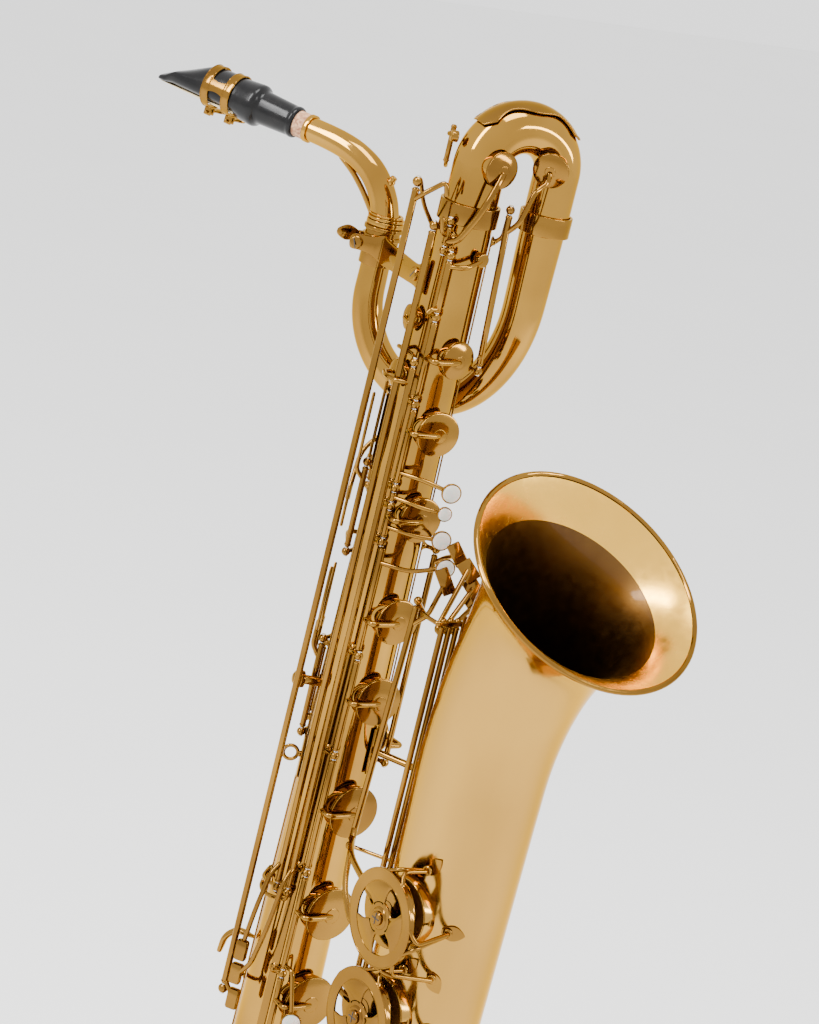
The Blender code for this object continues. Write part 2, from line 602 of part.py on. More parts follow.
# upper stack
k = Key("octave_key", U(0.990 - E), U(0.944 + E))
k.arm([U(0.982), K(8, 33, 0.984), P(-3, 0.0262, 0.9897)], 0.0018)
k.add(disc(P(-3, body_r(0.9897) + 0.0022, 0.9897), D(-3), 0.0052, 0.0060, 10))
k.arm([U(0.950), K(-9, 34.5, 0.950), K(-12, 36, 0.946)], 0.0018)
k.done(1, [0, 9])
for nm, cup_, z0, z1, pearl, lift in (
        ("high_D_key", "c1", 0.944, 0.878, None, 0.0),
        ("key_B", "c2", 0.878, 0.814, (0.826, (35.6, 34, 0.8221), 0.0075), 0.0034),
        ("key_A", "c3", 0.800, 0.772, (0.784, (36.7, 34, 0.7859), 0.0075), 0.0034)):
    k = Key(nm, U(z0 - E), U(z1 + E))
    body_cup(k, cup_, zr=min(z0 - E - 0.004, hole[cup_][2]))
    if pearl:
        c = K(*pearl[1])
        k.pearl(pearl[0], c, PEARL_N, pearl[2], via=K(18, 36.5, pearl[0]))
    if lift:
        k.done(1, [-6, 0], rest_open=6)
    else:
        k.arm([U(z1 + E + 0.003), K(-4, 37, z1 + E + 0.003)], 0.0018)
        k.done(1, [0, 8])
k = Key("bis_key", U(0.814 - E), U(0.800 + E))
k.pearl(0.807, K(34.3, 33, 0.8055), PEARL_N, 0.0056, via=K(18, 36.5, 0.806))
k.done(1, [-6, 0], rest_open=6)
k = Key("key_G", K(-3.5, 33, 0.772 - E), K(-3.5, 33, 0.684 + E))
body_cup(k, "c4")
k.pearl(0.757, K(43.9, 34, 0.7660), PEARL_N, 0.0075, via=K(20, 38, 0.757))
k.done(1, [-5, 0], rest_open=5)

# lower stack
for nm, cup_, z0, z1, pearl in (
        ("key_F_sharp", "c5", 0.684, 0.604, None),
        ("key_F_vent", "c6", 0.604, 0.508, None),
        ("key_F", "c7", 0.508, 0.424, (0.431, (14.3, 47, 0.3930))),
        ("key_E", "c8", 0.424, 0.350, (0.357, (15.0, 47, 0.3560))),
        ("key_D", "c9", 0.350, 0.282, (0.300, (15.5, 47, 0.2950)))):
    k = Key(nm, L(z0 - E), L(z1 + E))
    body_cup(k, cup_)
    if pearl:
        k.pearl(pearl[0], K(*pearl[1]), K(0.15, 1, 0) * 1000, 0.0078, via=K(6, 43, pearl[0]))
    k.done(1, [-5, 0], rest_open=5)

# low E flat, sprung shut, and low C, both on rods of their own
k = Key("key_E_flat", K(-43, 16.5, 0.328), K(-43, 16.5, 0.238))
_, ph, z, r = hole["c10"]
R = body_r(z)
c = P(ph, R + CHIM + GAP, z)
k.add(turn([(0, 0), (r, 0), (r, CUP_H * 0.62), (r * 0.8, CUP_H), (0, CUP_H)], c, D(ph), 12))
k.add(sweep([K(-43, 16.5, z), P(ph + 14, R + 0.0125, z), c + D(ph) * 0.0052], 0.0022, 5))
k.arm([K(-43, 16.5, 0.322), K(-37.5, 31, 0.322)], 0.0019)
k.add(bar(K(-35, 33, 0.334), K(-35, 33, 0.310), 0.013, 0.0030, K(-0.4, 1, 0)))
k.done(1, [0, 7])
k = Key("low_C_key", K(-3, 38.5, 0.2345), K(-3, 38.5, 0.1975))
k.cup(-5, 0.215, 0.0240, body_r(0.215), arm=0.0024)
k.arm([K(-3, 38.5, 0.226), K(0, 45, 0.234), K(1, 47.5, 0.256)], 0.0019)
k.add(bar(K(1.5, 47.5, 0.272), K(1.5, 47.5, 0.250), 0.012, 0.0030, K(0, 1, 0)))
k.done(1, [-5, 0], rest_open=5)

# right-hand side keys: long rods with block-shaped touches low on the body
SIDE_Z = (0.4347, 0.4152, 0.3952)


def side_touch(u, v, z):
    return bar(K(u, v, z + 0.0085), K(u, v, z - 0.0085), 0.0095, 0.0068, K(-0.3, 1, 0))


k = Key("side_C_key", K(-21.5, 27, 1.004), K(-21.5, 27, 0.492), 0.0028)
k.cup(106, 0.935, 0.0095, body_r(0.935), arm=0.0018)
k.arm([K(-21.5, 27, 0.509), K(-28, 32.5, 0.500), K(-33, 36, 0.470), K(-36, 35, 0.4400)], 0.0019)
k.add(side_touch(-36, 35, SIDE_Z[0]))
k.done(-1, [0, 8])
k = Key("side_B_flat_key", K(-12.5, 33, 0.905), K(-12.5, 33, 0.492), 0.0024)
k.cup(106, 0.893, 0.0100, body_r(0.893), arm=0.0018,
      via=[K(-21, 35.0, 0.893), K(-30.5, 27.5, 0.893), K(-32, 16, 0.893)])
k.arm([K(-12.5, 33, 0.509), K(-17, 41, 0.498), K(-21, 42, 0.460), K(-27, 41, 0.428), K(-35, 36, 0.4152)], 0.0019)
k.add(side_touch(-36, 35, SIDE_Z[1]))
k.done(-1, [0, 8])
k = Key("high_E_long_rod", K(-40, 26, 1.0313), K(-43.2, 30, 0.4030), 0.0026)
k.arm([K(-40, 26, 1.022), K(-33, 32, 1.030), K(-20, 27.5, 1.0405), K(-17.5, 27, 1.030)], 0.0019)
k.arm([K(-43.2, 30, 0.4058), K(-36, 35.5, 0.398)], 0.0019)
k.add(side_touch(-34, 36.5, SIDE_Z[2]))
k.done(1, [0, 6])
k = Key("high_E_key", K(-11, 25, 1.0090), K(-11, 25, 0.9952), 0.0024)
c = P(-1, 0.0193 + CHIM2 + GAP, 1.056)
k.add(turn([(0, 0), (0.0135, 0), (0.0135, 0.0030), (0.0105, 0.0044), (0, 0.0044)], c, D(-1), 14))
k.arm([K(-11, 25, 0.998), K(-3, 30, 1.001), K(7, 30, 1.020), K(14, 28.5, 1.040), P(-1, 0.0282, 1.055)], 0.0024)
k.arm([K(-11, 25, 1.002), K(-15, 29.0, 1.005), K(-17, 31, 1.016)], 0.0018)
k.done(1, [0, 7])
k = Key("crook_vent_key", K(29, 8, 1.0240), K(33.5, 8, 0.9113), 0.0024)
VD = VN
c = VC + VD * (0.0174 + CHIM2 + GAP)
k.add(turn([(0, 0), (0.0132, 0), (0.0132, 0.0030), (0.0103, 0.0044), (0, 0.0044)], c, VD, 14))
k.arm([K(29.6, 8, 1.011), K(37, 11, 1.020), K(43, 8, 1.045), c + VD * 0.0052 + Vector((0, 0, -0.008)), c + VD * 0.0050], 0.0020)
k.arm([K(33.3, 8, 0.918), K(31.8, 11.6, 0.918)], 0.0017)
k.done(1, [0, 6])

# palm keys and thumb levers, on the player's side of the body
for nm, (u, v), z0, z1, cup_, (lu, lv), lz0, lz1 in (
        ("palm_D_key", (-29.5, -3), 0.815, 0.752, "s3", (-36.0, -1), 0.815, 0.872),
        ("palm_E_flat_key", (-25, -23), 0.868, 0.800, "s2", (-29, -19), 0.815, 0.878),
        ("palm_F_key", (-15, -31), 0.905, 0.838, "s1", (-37.5, -11), 0.765, 0.800)):
    k = Key(nm, K(u, v, z0), K(u, v, z1), 0.0023)
    _, ph, z, r = hole[cup_]
    zr = min(max(z, z1 + 0.003), z0 - 0.003)
    k.cup(ph, z, r, body_r(z), zr=zr, arm=0.0018)
    n = K(-1, 0.05, 0).normalized()
    zm = min(max(lz0, z1 + 0.004), z0 - 0.004)
    if nm == "palm_F_key":
        k.arm([K(u, v, 0.843), K(-36, -28, 0.822), K(lu, lv, 0.795), K(lu, lv, 0.785)], 0.0018)
    else:
        k.arm([K(u, v, zm - 0.006), K(lu, lv, lz0 - 0.003 if nm == 'palm_D_key' else zm), K(lu, lv, max(lz0 + 0.006, zm))], 0.0018)
    w, L2 = 0.0062, (lz1 - lz0)
    outline = [(-w * 0.45, 0), (-w, L2 * 0.3), (-w * 0.9, L2 * 0.62), (0, L2), (w * 0.9, L2 * 0.62), (w, L2 * 0.3), (w * 0.45, 0)]
    k.add(plate(outline, K(lu, lv, lz0), K(0, 1, 0), Vector((0, 0, 1)), 0.0024))
    k.done(-1, [0, 8])
k = Key("octave_lever", K(-31.0, -1, 0.675), K(-31.0, -1, 0.607), 0.0023)
k.arm([K(-31.0, -1, 0.664), K(-37.5, -1, 0.672), K(-37.2, -1, 0.692)], 0.0018)
k.add(plate([(-0.003, 0), (-0.0060, 0.015), (-0.0052, 0.033), (0, 0.050), (0.0052, 0.033), (0.0060, 0.015), (0.003, 0)],
            K(-37, -1, 0.685), K(0, 1, 0), Vector((0, 0, 1)), 0.0024))
k.done(-1, [0, 8])
k = Key("low_A_lever", K(-29.5, -16, 0.668), K(-29.5, -16, 0.615), 0.0023)
k.arm([K(-29.5, -16, 0.656), K(-35.8, -15, 0.664), K(-35.0, -14, 0.692)], 0.0018)
k.add(plate([(-0.003, 0), (-0.0062, 0.015), (-0.0055, 0.033), (0, 0.050), (0.0055, 0.033), (0.0062, 0.015), (0.003, 0)],
            K(-35.0, -14, 0.685), K(0, 1, 0), Vector((0, 0, 1)), 0.0024))
k.done(-1, [0, 8])

# G sharp: closed cup on the player's left, touch on the little-finger table
k = Key("G_sharp_key", K(35.0, 4, 0.7640), K(35.5, 4, 0.6000), 0.0023)
k.cup(270, 0.610, 0.0150, body_r(0.610), arm=0.0020)
k.arm([K(35.0, 4, 0.757), K(43, 6, 0.764), K(50, 22, 0.772), K(51, 50.5, 0.7820)], 0.0019)
k.add(bar(K(45, 51.5, 0.789), K(56, 51.5, 0.775), 0.010, 0.0028, K(0, 1, 0.0003)))
k.done(1, [0, 6])

# bell keys: rods between body and bell, spread 6.5 mm apart
def brod(i, z):
    return Vector((0.1090, -0.0085 - 0.0065 * i, z))


TABLE = (("low_C_sharp_key", 0, 0.745, 0.240, "Cs"), ("low_A_key", 1, 0.745, 0.310, "A"),
         ("low_B_flat_key", 2, 0.745, 0.440, "Bb"))
bh = {h[0]: h for h in BELL_HOLES}
for nm, i, z0, z1, hn in TABLE:
    k = Key(nm, brod(i, z0 - E), brod(i, z1 + E), 0.0022)
    _, ph, z, r = bh[hn]
    R = bell_tube_r(z)
    c = P(ph, R + CHIM + GAP, z, BELL_X)
    n = D(ph)
    rc2 = r + 0.0015
    k.add(turn([(0, 0), (rc2, 0), (rc2, CUP_H * 0.7), (rc2 * 0.85, CUP_H * 1.1), (0, CUP_H * 1.1)], c, n, 12))
    a = k.on_rod(z)
    if hn != "Cs":
        k.add(sweep([a, P(144, R + 0.0200, z, BELL_X), P(124, R + 0.0190, z, BELL_X), P(104, R + 0.0142, z, BELL_X), c + n * 0.0047], 0.0024, 6))
    else:
        k.add(sweep([a, a + Vector((-0.004, 0.0, 0)), P(190, R + 0.020, z, BELL_X), c + n * 0.0048], 0.0024, 5))
    j = 2 - i
    tz = 0.776 - 0.013 * j
    t0 = K(57 + 7.0 * j, 62 - 2 * j, tz)
    k.add(bar(t0 + Vector((-0.004, -0.0035, 0.005)), t0 + Vector((0.005, 0.0042, -0.006)), 0.0115, 0.0024, K(0, 1, 0.0003)))
    k.add(sweep([brod(i, z0 - E - 0.006), brod(i, z0 - E - 0.0050) + Vector((-0.007, 0, 0)), t0], 0.0019, 5))
    if hn == "Cs":
        k.done(-1, [0, 5])
    else:
        k.done(1, [-5, 0], rest_open=5)

# low B: its own rod crosses in front, with a forked arm to the cup
k = Key("low_B_key", K(30.5, 60, 0.7400), K(24.8, 60, 0.5510), 0.0024)
_, ph, z, r = bh["B"]
R = bell_tube_r(z)
c = P(ph, R + CHIM + GAP, z, BELL_X)
n = D(ph)
rc2 = r + 0.0015
k.add(turn([(0, 0), (rc2, 0), (rc2, CUP_H * 0.7), (rc2 * 0.85, CUP_H * 1.1), (0, CUP_H * 1.1)], c, n, 12))
a = k.on_rod(0.556)
k.add(sweep([a, P(150, R + 0.036, 0.556, BELL_X), P(118, R + 0.0130, 0.552, BELL_X), P(98, R + 0.0112, z, BELL_X), c + n * 0.0048], 0.0024, 5))
k.add(sweep([k.on_rod(0.562), P(152, R + 0.036, 0.530, BELL_X), P(134, R + 0.018, 0.515, BELL_X), P(116, R + 0.0115, 0.524, BELL_X), P(100, R + 0.0100, 0.533, BELL_X)], 0.0022, 5))
k.add(sweep([k.on_rod(0.725), K(40, 62, 0.735), K(46, 62, 0.760)], 0.0019, 5))
k.add(bar(K(41, 62, 0.772), K(52, 62, 0.755), 0.010, 0.0024, K(0, 1, 0.0003)))
k.done(1, [-3, 0], rest_open=3)

# ------------------------------------------------- posts, ribs and fittings
def post(p, rb, rib_phi, zf, bends=()):
    """Post: ball head, stem and foot on the rib at height zf."""
    p = Vector(p)
    foot = P(rib_phi, body_r(zf) + GAP + 0.0005, zf)
    return [disc(foot, D(rib_phi), 0.0026, 0.0040, 6),
            sweep([p] + list(bends) + [foot + D(rib_phi) * 0.0026], 0.0016, 5), ball(p, rb)]


def rib(phi, z0, z1, w, phi1=None):
    p0, p1 = P(phi, body_r(z0) + GAP + 0.0009, z0), P(phi if phi1 is None else phi1, body_r(z1) + GAP + 0.0009, z1)
    return bar(p0, p1, w, 0.0012, D(phi if phi1 is None else (phi + phi1) / 2))


def posts(name, rib_phi, z0, z1, heads, w=0.006, extra=()):
    """Rib along the body with posts: heads are (centre, radius[, bends])."""
    prims = [rib(rib_phi, z0, z1, w)]
    for h in heads:
        prims += post(h[0], h[1], rib_phi, min(max(h[0].z, z0 + 0.0030), z1 - 0.0030), h[2] if len(h) > 2 else ())
    solid(name, prims + list(extra), "lacquer")


def around(phi, z, h=0.0065):
    return P(phi, body_r(z) + h, z)


posts("upper_stack_posts", 60, 0.766, 1.0040,
      [(U(z), 0.0034) for z in (0.990, 0.944, 0.878, 0.814, 0.800, 0.772)]
      + [(K(-11, 25, 1.0130), 0.0032, [P(76, 0.0250, 1.0120), P(76, 0.0242, 1.0040)]), (K(-11, 25, 0.9914), 0.0032)])
# the lower rib steps round the tone hole of the low E flat
jog = [(56, 0.300), (42, 0.292), (27, 0.284), (27, 0.246), (42, 0.2385), (56, 0.2310), (56, 0.1915)]
step = [rib(a[0], a[1], b[1], 0.0048, b[0]) for a, b in zip(jog, jog[1:])]
step += [disc(P(a, body_r(b) + GAP + 0.0003, b), D(a), 0.0024, 0.0016, 8) for a, b in jog[1:-1]]
posts("lower_stack_posts", 56, 0.2965, 0.689,
      [(L(z), 0.0034) for z in (0.684, 0.604, 0.508, 0.424, 0.350)],
      extra=step + post(L(0.282), 0.0034, 27, 0.2825) + post(K(-3, 38.5, 0.2382), 0.0034, 56, 0.2290, [around(50, 0.2375, 0.006)]) + post(K(-3, 38.5, 0.1938), 0.0034, 56, 0.1945))
posts("side_key_posts", 138, 0.2280, 1.0040,
      [(K(-21.5, 27, 1.0077), 0.0036), (K(-12.5, 33, 0.9087), 0.0034, [K(-14.5, 24, 0.9120), K(-27, 16, 0.9140)]),
       (K(-21.5, 27, 0.4883), 0.0036, [around(104, 0.486), around(122, 0.485)]),
       (K(-12.5, 33, 0.4883), 0.0034, [K(-12.5, 33, 0.4820), around(88, 0.4775), around(108, 0.4765), around(124, 0.477)]),
       (K(-40, 26, 1.0357), 0.0038, [K(-38, 20, 1.0357), K(-33, 9, 1.018)]), (K(-43.2, 30, 0.3986), 0.0038, [around(118, 0.3986, 0.012)]),
       (K(-43, 16.5, 0.3317), 0.0034, [around(128, 0.3317, 0.010)]), (K(-43, 16.5, 0.2343), 0.0034, [around(128, 0.2343, 0.010)])],
      0.0048,
      extra=[sweep([P(138, body_r(0.43) + 0.0012, 0.430), P(138, body_r(0.43) + 0.016, 0.432), P(138, body_r(0.43) + 0.024, 0.424),
                    P(138, body_r(0.43) + 0.026, 0.410)], [0.0022, 0.0040, 0.0042, 0.0036], 8, 0.6)])
posts("palm_key_posts", 153, 0.600, 0.915,
      [(K(-29.5, -3, z), 0.0033) for z in (0.8188, 0.7482)] + [(K(-25, -23, z), 0.0033) for z in (0.8717, 0.7963)]
      + [(K(-15, -31, z), 0.0033) for z in (0.9087, 0.8343)]
      + [(K(-31.0, -1, 0.6788), 0.0033), (K(-31.0, -1, 0.6032), 0.0033)]
      + [(K(-29.5, -16, z), 0.0033) for z in (0.6717, 0.6113)])
posts("left_side_posts", 310, 0.590, 1.0040,
      [(K(28.8, 8, 1.0278), 0.0033, [K(28.5, 2.5, 1.0268), K(28, 1.5, 1.006)]), (K(33.6, 8, 0.9075), 0.0033), (K(35.0, 4, 0.7678), 0.0033),
       (K(35.5, 4, 0.5963), 0.0033)], 0.0046)

# bell posts: a rib along the bell carries short bridges with the ball heads
bx = BELL_X - 0.0500
prims = [bar((bx, -0.0060, 0.234), (bx, -0.0060, 0.7515), 0.007, 0.0016, (1, 0, 0)),
         bar((bx - 0.0013, -0.0040, 0.745), (bx - 0.0013, -0.0245, 0.745), 0.004, 0.0016, (1, 0, 0))]
for i in range(3):
    b = brod(i, TABLE[i][2])
    prims.append(ball(b, 0.0029))
    prims.append(sweep([b, Vector((bx - 0.0010, b.y, b.z))], 0.0014, 6))
    b = brod(i, TABLE[i][3])
    prims.append(ball(b, 0.0029))
    prims.append(sweep([b, Vector((bx - 0.0012, b.y, b.z)), Vector((bx, -0.0060 - 0.001 * i, b.z))] if i else [b, Vector((bx, -0.0065, b.z))], 0.0015, 6))
bt, bb = K(30.6, 60, 0.7437), K(24.7, 60, 0.5473)
prims += [ball(bt, 0.0033), ball(bb, 0.0033),
          sweep([bt, Vector((0.098, -0.0300, 0.7450)), Vector((0.1125, -0.0290, 0.7450)), Vector((bx - 0.0010, -0.0230, 0.7450))], 0.0017, 5),
          sweep([bb, Vector((0.094, 0.0020, 0.5473)), Vector((0.104, 0.0038, 0.5473)), Vector((bx, -0.0040, 0.5473))], 0.0015, 5)]
solid("bell_posts", prims, "lacquer")

# guards over the two big cups on the bell, each on three feet
def guard(name, zc):
    R = bell_tube_r(zc)
    n = D(90)
    c = P(80, R + 0.0262, zc, BELL_X)
    ex, ey = Vector((0, 0, 1)).cross(n).normalized(), Vector((0, 0, 1))
    m = 18
    disc_o = [(0.036 * math.cos(2 * math.pi * i / m), 0.036 * math.sin(2 * math.pi * i / m)) for i in range(m)]
    prims = [plate(disc_o, c, ex, ey, 0.0016), disc(c - n * 0.0032, n, 0.0085, 0.0052, 10)]
    for sx, ph, z in ((1, 66, zc + 0.0390), (1, 36, zc - 0.002), (1, 40, zc - 0.0390)):
        foot = P(ph, bell_tube_r(z) + GAP + 0.0012, z, BELL_X)
        d = (foot - c)
        d = (d - n * d.dot(n)).normalized()
        edge = c + d * 0.0345
        out = edge + d * 0.006 - n * 0.004
        prims.append(sweep([edge, out, foot + D(ph) * 0.004, foot], [0.0024, 0.0022, 0.0022, 0.0030], 5))
        prims.append(disc(foot - D(ph) * 0.0010, D(ph), 0.0055, 0.0016, 8))
    cuts = []
    for a0 in (55, 175, 295):
        sec = [(0.0115 * math.cos(math.radians(a0 - 28)), 0.0115 * math.sin(math.radians(a0 - 28)))]
        sec += [(0.0285 * math.cos(math.radians(a)), 0.0285 * math.sin(math.radians(a))) for a in (a0 - 34, a0 - 17, a0, a0 + 17, a0 + 34)]
        sec += [(0.0115 * math.cos(math.radians(a0 + 28)), 0.0115 * math.sin(math.radians(a0 + 28)))]
        cuts.append(plate(sec, c, ex, ey, 0.006))
    solid(name, prims, "lacquer", cuts)


guard("low_B_guard", 0.548)
guard("low_B_flat_guard", 0.470)

# body-to-bell brace: a strut between two curved plates
zb = 0.606
xa, xb = body_r(zb) + GAP, BELL_X - bell_tube_r(zb) - GAP
ang = 200
prims = [sweep([Vector((xa * 0.62 + 0.001, 0.0235, zb)), Vector((0.060, 0.032, zb)), Vector((0.105, 0.030, zb)), Vector((xb + 0.0125, 0.0300, zb))], 0.0032, 8),
         bar(P(-28, body_r(zb - 0.018) + GAP + 0.0012, zb - 0.018), P(-28, body_r(zb + 0.018) + GAP + 0.0012, zb + 0.018), 0.010, 0.0014, D(-28)),
         bar(P(222, bell_tube_r(zb - 0.02) + GAP + 0.0011, zb - 0.020, BELL_X), P(222, bell_tube_r(zb + 0.02) + GAP + 0.0011, zb + 0.020, BELL_X), 0.012, 0.0014, D(222))]
prims[0] = (bpy.data.objects.remove(prims[0], do_unlink=True),
            sweep([P(-28, xa + 0.0016, zb), P(-28, xa + 0.012, zb), Vector((0.060, 0.030, zb)), Vector((0.105, 0.037, zb)),
                   P(222, bell_tube_r(zb) + 0.010, zb, BELL_X), P(222, bell_tube_r(zb) + 0.0020, zb, BELL_X)], 0.0028, 8))[1]
solid("body_bell_brace", prims, "lacquer")

# strap ring and thumb rest on the player's side
rp = K(-35.0, 5, 0.5873)
sd = (rp - Vector((0, 0, rp.z))).normalized()
R = body_r(0.5873)
tor = []
for i in range(6):
    a = math.pi * 2 * i / 6
    tor.append((0.0055 + 0.0014 * math.cos(a), 0.0014 * math.sin(a)))
ringo = turn(tor, rp, sd.cross(Vector((0, 0, 1))), 16)
base_ph = math.degrees(math.atan2(-sd.y, sd.x))
solid("strap_ring", [ringo, sweep([sd * (R + GAP) + Vector((0, 0, rp.z)), sd * (rp.length and (Vector((rp.x, rp.y, 0)).length - 0.0052)) + Vector((0, 0, rp.z))], 0.0024, 8),
                     bar(P(base_ph, R + GAP + 0.0008, rp.z - 0.018), P(base_ph, R + GAP + 0.0008, rp.z + 0.018), 0.008, 0.0013, sd)], "lacquer")
tz = 0.6476
sd2 = D(114)
R = body_r(tz)
solid("thumb_rest", [disc(sd2 * (R + GAP) + Vector((0, 0, tz)), sd2, 0.0062, 0.0016, 12),
                     disc(sd2 * (R + 0.001) + Vector((0, 0, tz)), sd2, 0.0036, 0.0140, 10),
                     turn([(0, 0.0140), (0.0062, 0.0140), (0.0068, 0.0170), (0.0056, 0.0210), (0.0030, 0.0228), (0, 0.0232)],
                          sd2 * R + Vector((0, 0, tz)), sd2, 12)], "lacquer")
# guard plate laid over the outside of the crook, wavy along its edges
vs, fs = [], []
N1, N2 = 8, 3
for sh in (0, 1):
    for i in range(N1 + 1):
        a = math.radians(38 + 104 * i / N1)
        ctr = cu * (cr - math.cos(a) * cr) + Vector((0, 0, CROOK_ZC + math.sin(a) * cr))
        outw = (cu * (-math.cos(a)) + Vector((0, 0, math.sin(a))))
        side = cu.cross(Vector((0, 0, 1))).normalized()
        rt = 0.0194 - 0.0024 * (math.degrees(a) / 180)
        half = math.radians(34 + 7 * math.cos(4 * math.pi * i / N1)) * (0.55 if i in (0, N1) else 1.0)
        for j in range(N2 + 1):
            b = -half + 2 * half * j / N2
            r = rt + GAP + 0.0006 + 0.0011 * sh
            vs.append(ctr + outw * (r * math.cos(b)) + side * (r * math.sin(b)))
o = (N1 + 1) * (N2 + 1)
for i in range(N1):
    for j in range(N2):
        q = i * (N2 + 1) + j
        fs.append((q, q + 1, q + N2 + 2, q + N2 + 1))
        fs.append((o + q, o + q + N2 + 1, o + q + N2 + 2, o + q + 1))
for i in range(N1):
    for j in (0, N2):
        q, q2 = i * (N2 + 1) + j, (i + 1) * (N2 + 1) + j
        fs.append((q, q2, o + q2, o + q))
for j in range(N2):
    for i in (0, N1):
        q = i * (N2 + 1) + j
        fs.append((q, q + 1, o + q + 1, o + q))
solid("crook_guard_plate", [add("tmp_guard", vs, fs)], "lacquer")

# brace plate between the neck receiver and the body, with slotted screws
pb = P(104, body_r(0.966) + 0.0050, 0.966)
pa = P3(rc, 0.9655) + K(-17.0, 16.5, 0)     # left of the receiver, then along its front
pm = P3(rc, 0.9655) + K(3.5, 16.5, 0)
vert = Vector((0, 0, 1))
e0, L0 = (pm - pa).normalized(), (pm - pa).length
e1, L1 = (pb - pm).normalized(), (pb - pm).length
left = [(-0.0050, -0.0010), (-0.0050, 0.0030), (-0.0030, 0.0062), (0.0030, 0.0072), (0.012, 0.0078), (L0 + 0.0008, 0.0095),
        (L0 + 0.0008, -0.0095), (0.012, -0.0062), (0.004, -0.0048), (-0.0030, -0.0045)]
right = [(-0.0008, 0.0095), (0.010, 0.0085), (L1 - 0.012, 0.0070), (L1, 0.0085),
         (L1, -0.0085), (L1 - 0.010, -0.0090), (0.016, -0.0105), (-0.0008, -0.0095)]
bn0, bpn = e0.cross(vert).normalized(), e1.cross(vert).normalized()
if bn0.dot(K(0, 1, 0)) < 0:
    bn0 = -bn0
if bpn.dot(K(0, 1, 0)) < 0:
    bpn = -bpn
solid("brace_plate", [plate(left, pa, e0, vert, 0.0024), plate(right, pm, e1, vert, 0.0024),
                      turn([(0, 0), (0.0050, 0), (0.0050, 0.0030), (0.0040, 0.0040), (0, 0.0040)], pa + vert * 0.001, bn0, 12),
                      turn([(0, 0), (0.0052, 0), (0.0052, 0.0030), (0.0042, 0.0040), (0, 0.0040)], pb - e1 * 0.0058, bpn, 12),
                      bar(P(104, body_r(0.966) + 0.0032, 0.979), P(104, body_r(0.966) + 0.0034, 0.953), 0.006, 0.0048, D(104))],
      "lacquer")

# octave pip key on the crook's left leg
ctr = Vector((0, 0, 1.060))
k = Key("crook_octave_key", P(143, 0.0252, 1.0480), P(143, 0.0252, 1.0760), 0.0020)
cpt = P(112, 0.0202, 1.0700)
k.add(disc(cpt + D(112) * 0.0006, D(112), 0.0042, 0.0050, 10))
k.arm([P(143, 0.0252, 1.0700), P(128, 0.0272, 1.0700), cpt + D(112) * 0.0040], 0.0016)
k.arm([P(143, 0.0252, 1.0500), P(158, 0.0275, 1.0440)], 0.0016)
k.done(1, [0, 10])

# the origin of the whole assembly is the middle of the strap ring, which carries it
ORIGIN = rp.copy()
for ob in COLL.objects:
    if ob.location.length > 1e-9:
        ob.location = ob.location - ORIGIN
    else:
        ob.data.transform(Matrix.Translation(-ORIGIN))
JOINTS = [(j[0], j[1] - ORIGIN, j[2], j[3], j[4]) for j in JOINTS]

if __name__ == "__main__":
    n = [o for o in bpy.data.objects if o.type == "MESH"]
    print("pieces", len(n), "triangles", sum(sum(len(p.vertices) - 2 for p in o.data.polygons) for o in n))
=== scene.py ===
"""Looks of the low-A baritone saxophone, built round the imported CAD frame.

Every visible piece is rebuilt here at full resolution in the same place as
its CAD node and rides on that node's body.
"""
import bpy
import bmesh
import json
import math
import random
from mathutils import Vector, Matrix


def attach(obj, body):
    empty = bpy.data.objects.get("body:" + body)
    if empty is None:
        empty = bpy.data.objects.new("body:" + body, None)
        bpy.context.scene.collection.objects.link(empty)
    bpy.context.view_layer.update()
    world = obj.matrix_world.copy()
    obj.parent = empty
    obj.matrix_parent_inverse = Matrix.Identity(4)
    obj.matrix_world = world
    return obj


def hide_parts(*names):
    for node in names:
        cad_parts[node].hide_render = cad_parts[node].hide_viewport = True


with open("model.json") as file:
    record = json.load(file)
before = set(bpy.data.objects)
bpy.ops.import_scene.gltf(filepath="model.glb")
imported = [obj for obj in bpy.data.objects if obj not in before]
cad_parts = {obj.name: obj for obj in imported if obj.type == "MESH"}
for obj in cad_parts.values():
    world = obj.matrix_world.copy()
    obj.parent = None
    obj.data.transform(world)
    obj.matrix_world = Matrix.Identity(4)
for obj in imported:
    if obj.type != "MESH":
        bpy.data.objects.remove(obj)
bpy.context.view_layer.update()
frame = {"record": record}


BODY_OF = {n: b for b, ns in frame["record"]["behaviour"]["bodies"].items() for n in ns}
random.seed(4)

# ----------------------------------------------------------------- dimensions
BODY_Z0, BODY_Z1 = 0.1780, 1.0170       # body tube, lower and upper end
BODY_R1 = 0.01945                       # its outer radius at the upper end
BODY_TAPER = 0.01494                    # radius gained per metre downwards
WALL = 0.0011                           # wall of the large tubes
BELL_X = 0.165                          # axis of the bell tube
BELL_BEND_Z = 0.6445                    # where the bell starts to lean out
BELL_LEAN = 35.67                       # tilt of the rim's plane, degrees
BELL_BEND_R = 0.304                     # radius of that bend
BELL_RIM_R = 0.0885
BOW_ZC = 0.1185                         # centre of the bottom bow's half circle
CROOK_ZC = 1.053                        # centre of the upper crook
CROOK_DIR = (0.0126, 0.0607)            # from the body axis to the crook's other leg
RECEIVER = (-0.091, -0.002)             # axis of the neck receiver
LOOP_TOP = 0.9600                       # top of the pigtail's left leg
NECK_DIR = (-0.907, -0.422)             # heading of the neck, level
KEY_TURN = 51.25                        # turn of the keywork frame, degrees
CHIM = 0.0032                           # height of a tone hole's chimney
CUP_H = 0.0048                          # height of a key cup
GAP = 0.0003                            # gap kept between touching pieces

# ----------------------------------------------------------------- materials
def new_mat(name):
    m = bpy.data.materials.new(name)
    m.use_nodes = True
    return m, m.node_tree, m.node_tree.nodes["Principled BSDF"]


def link(nt, a, b):
    nt.links.new(a, b)


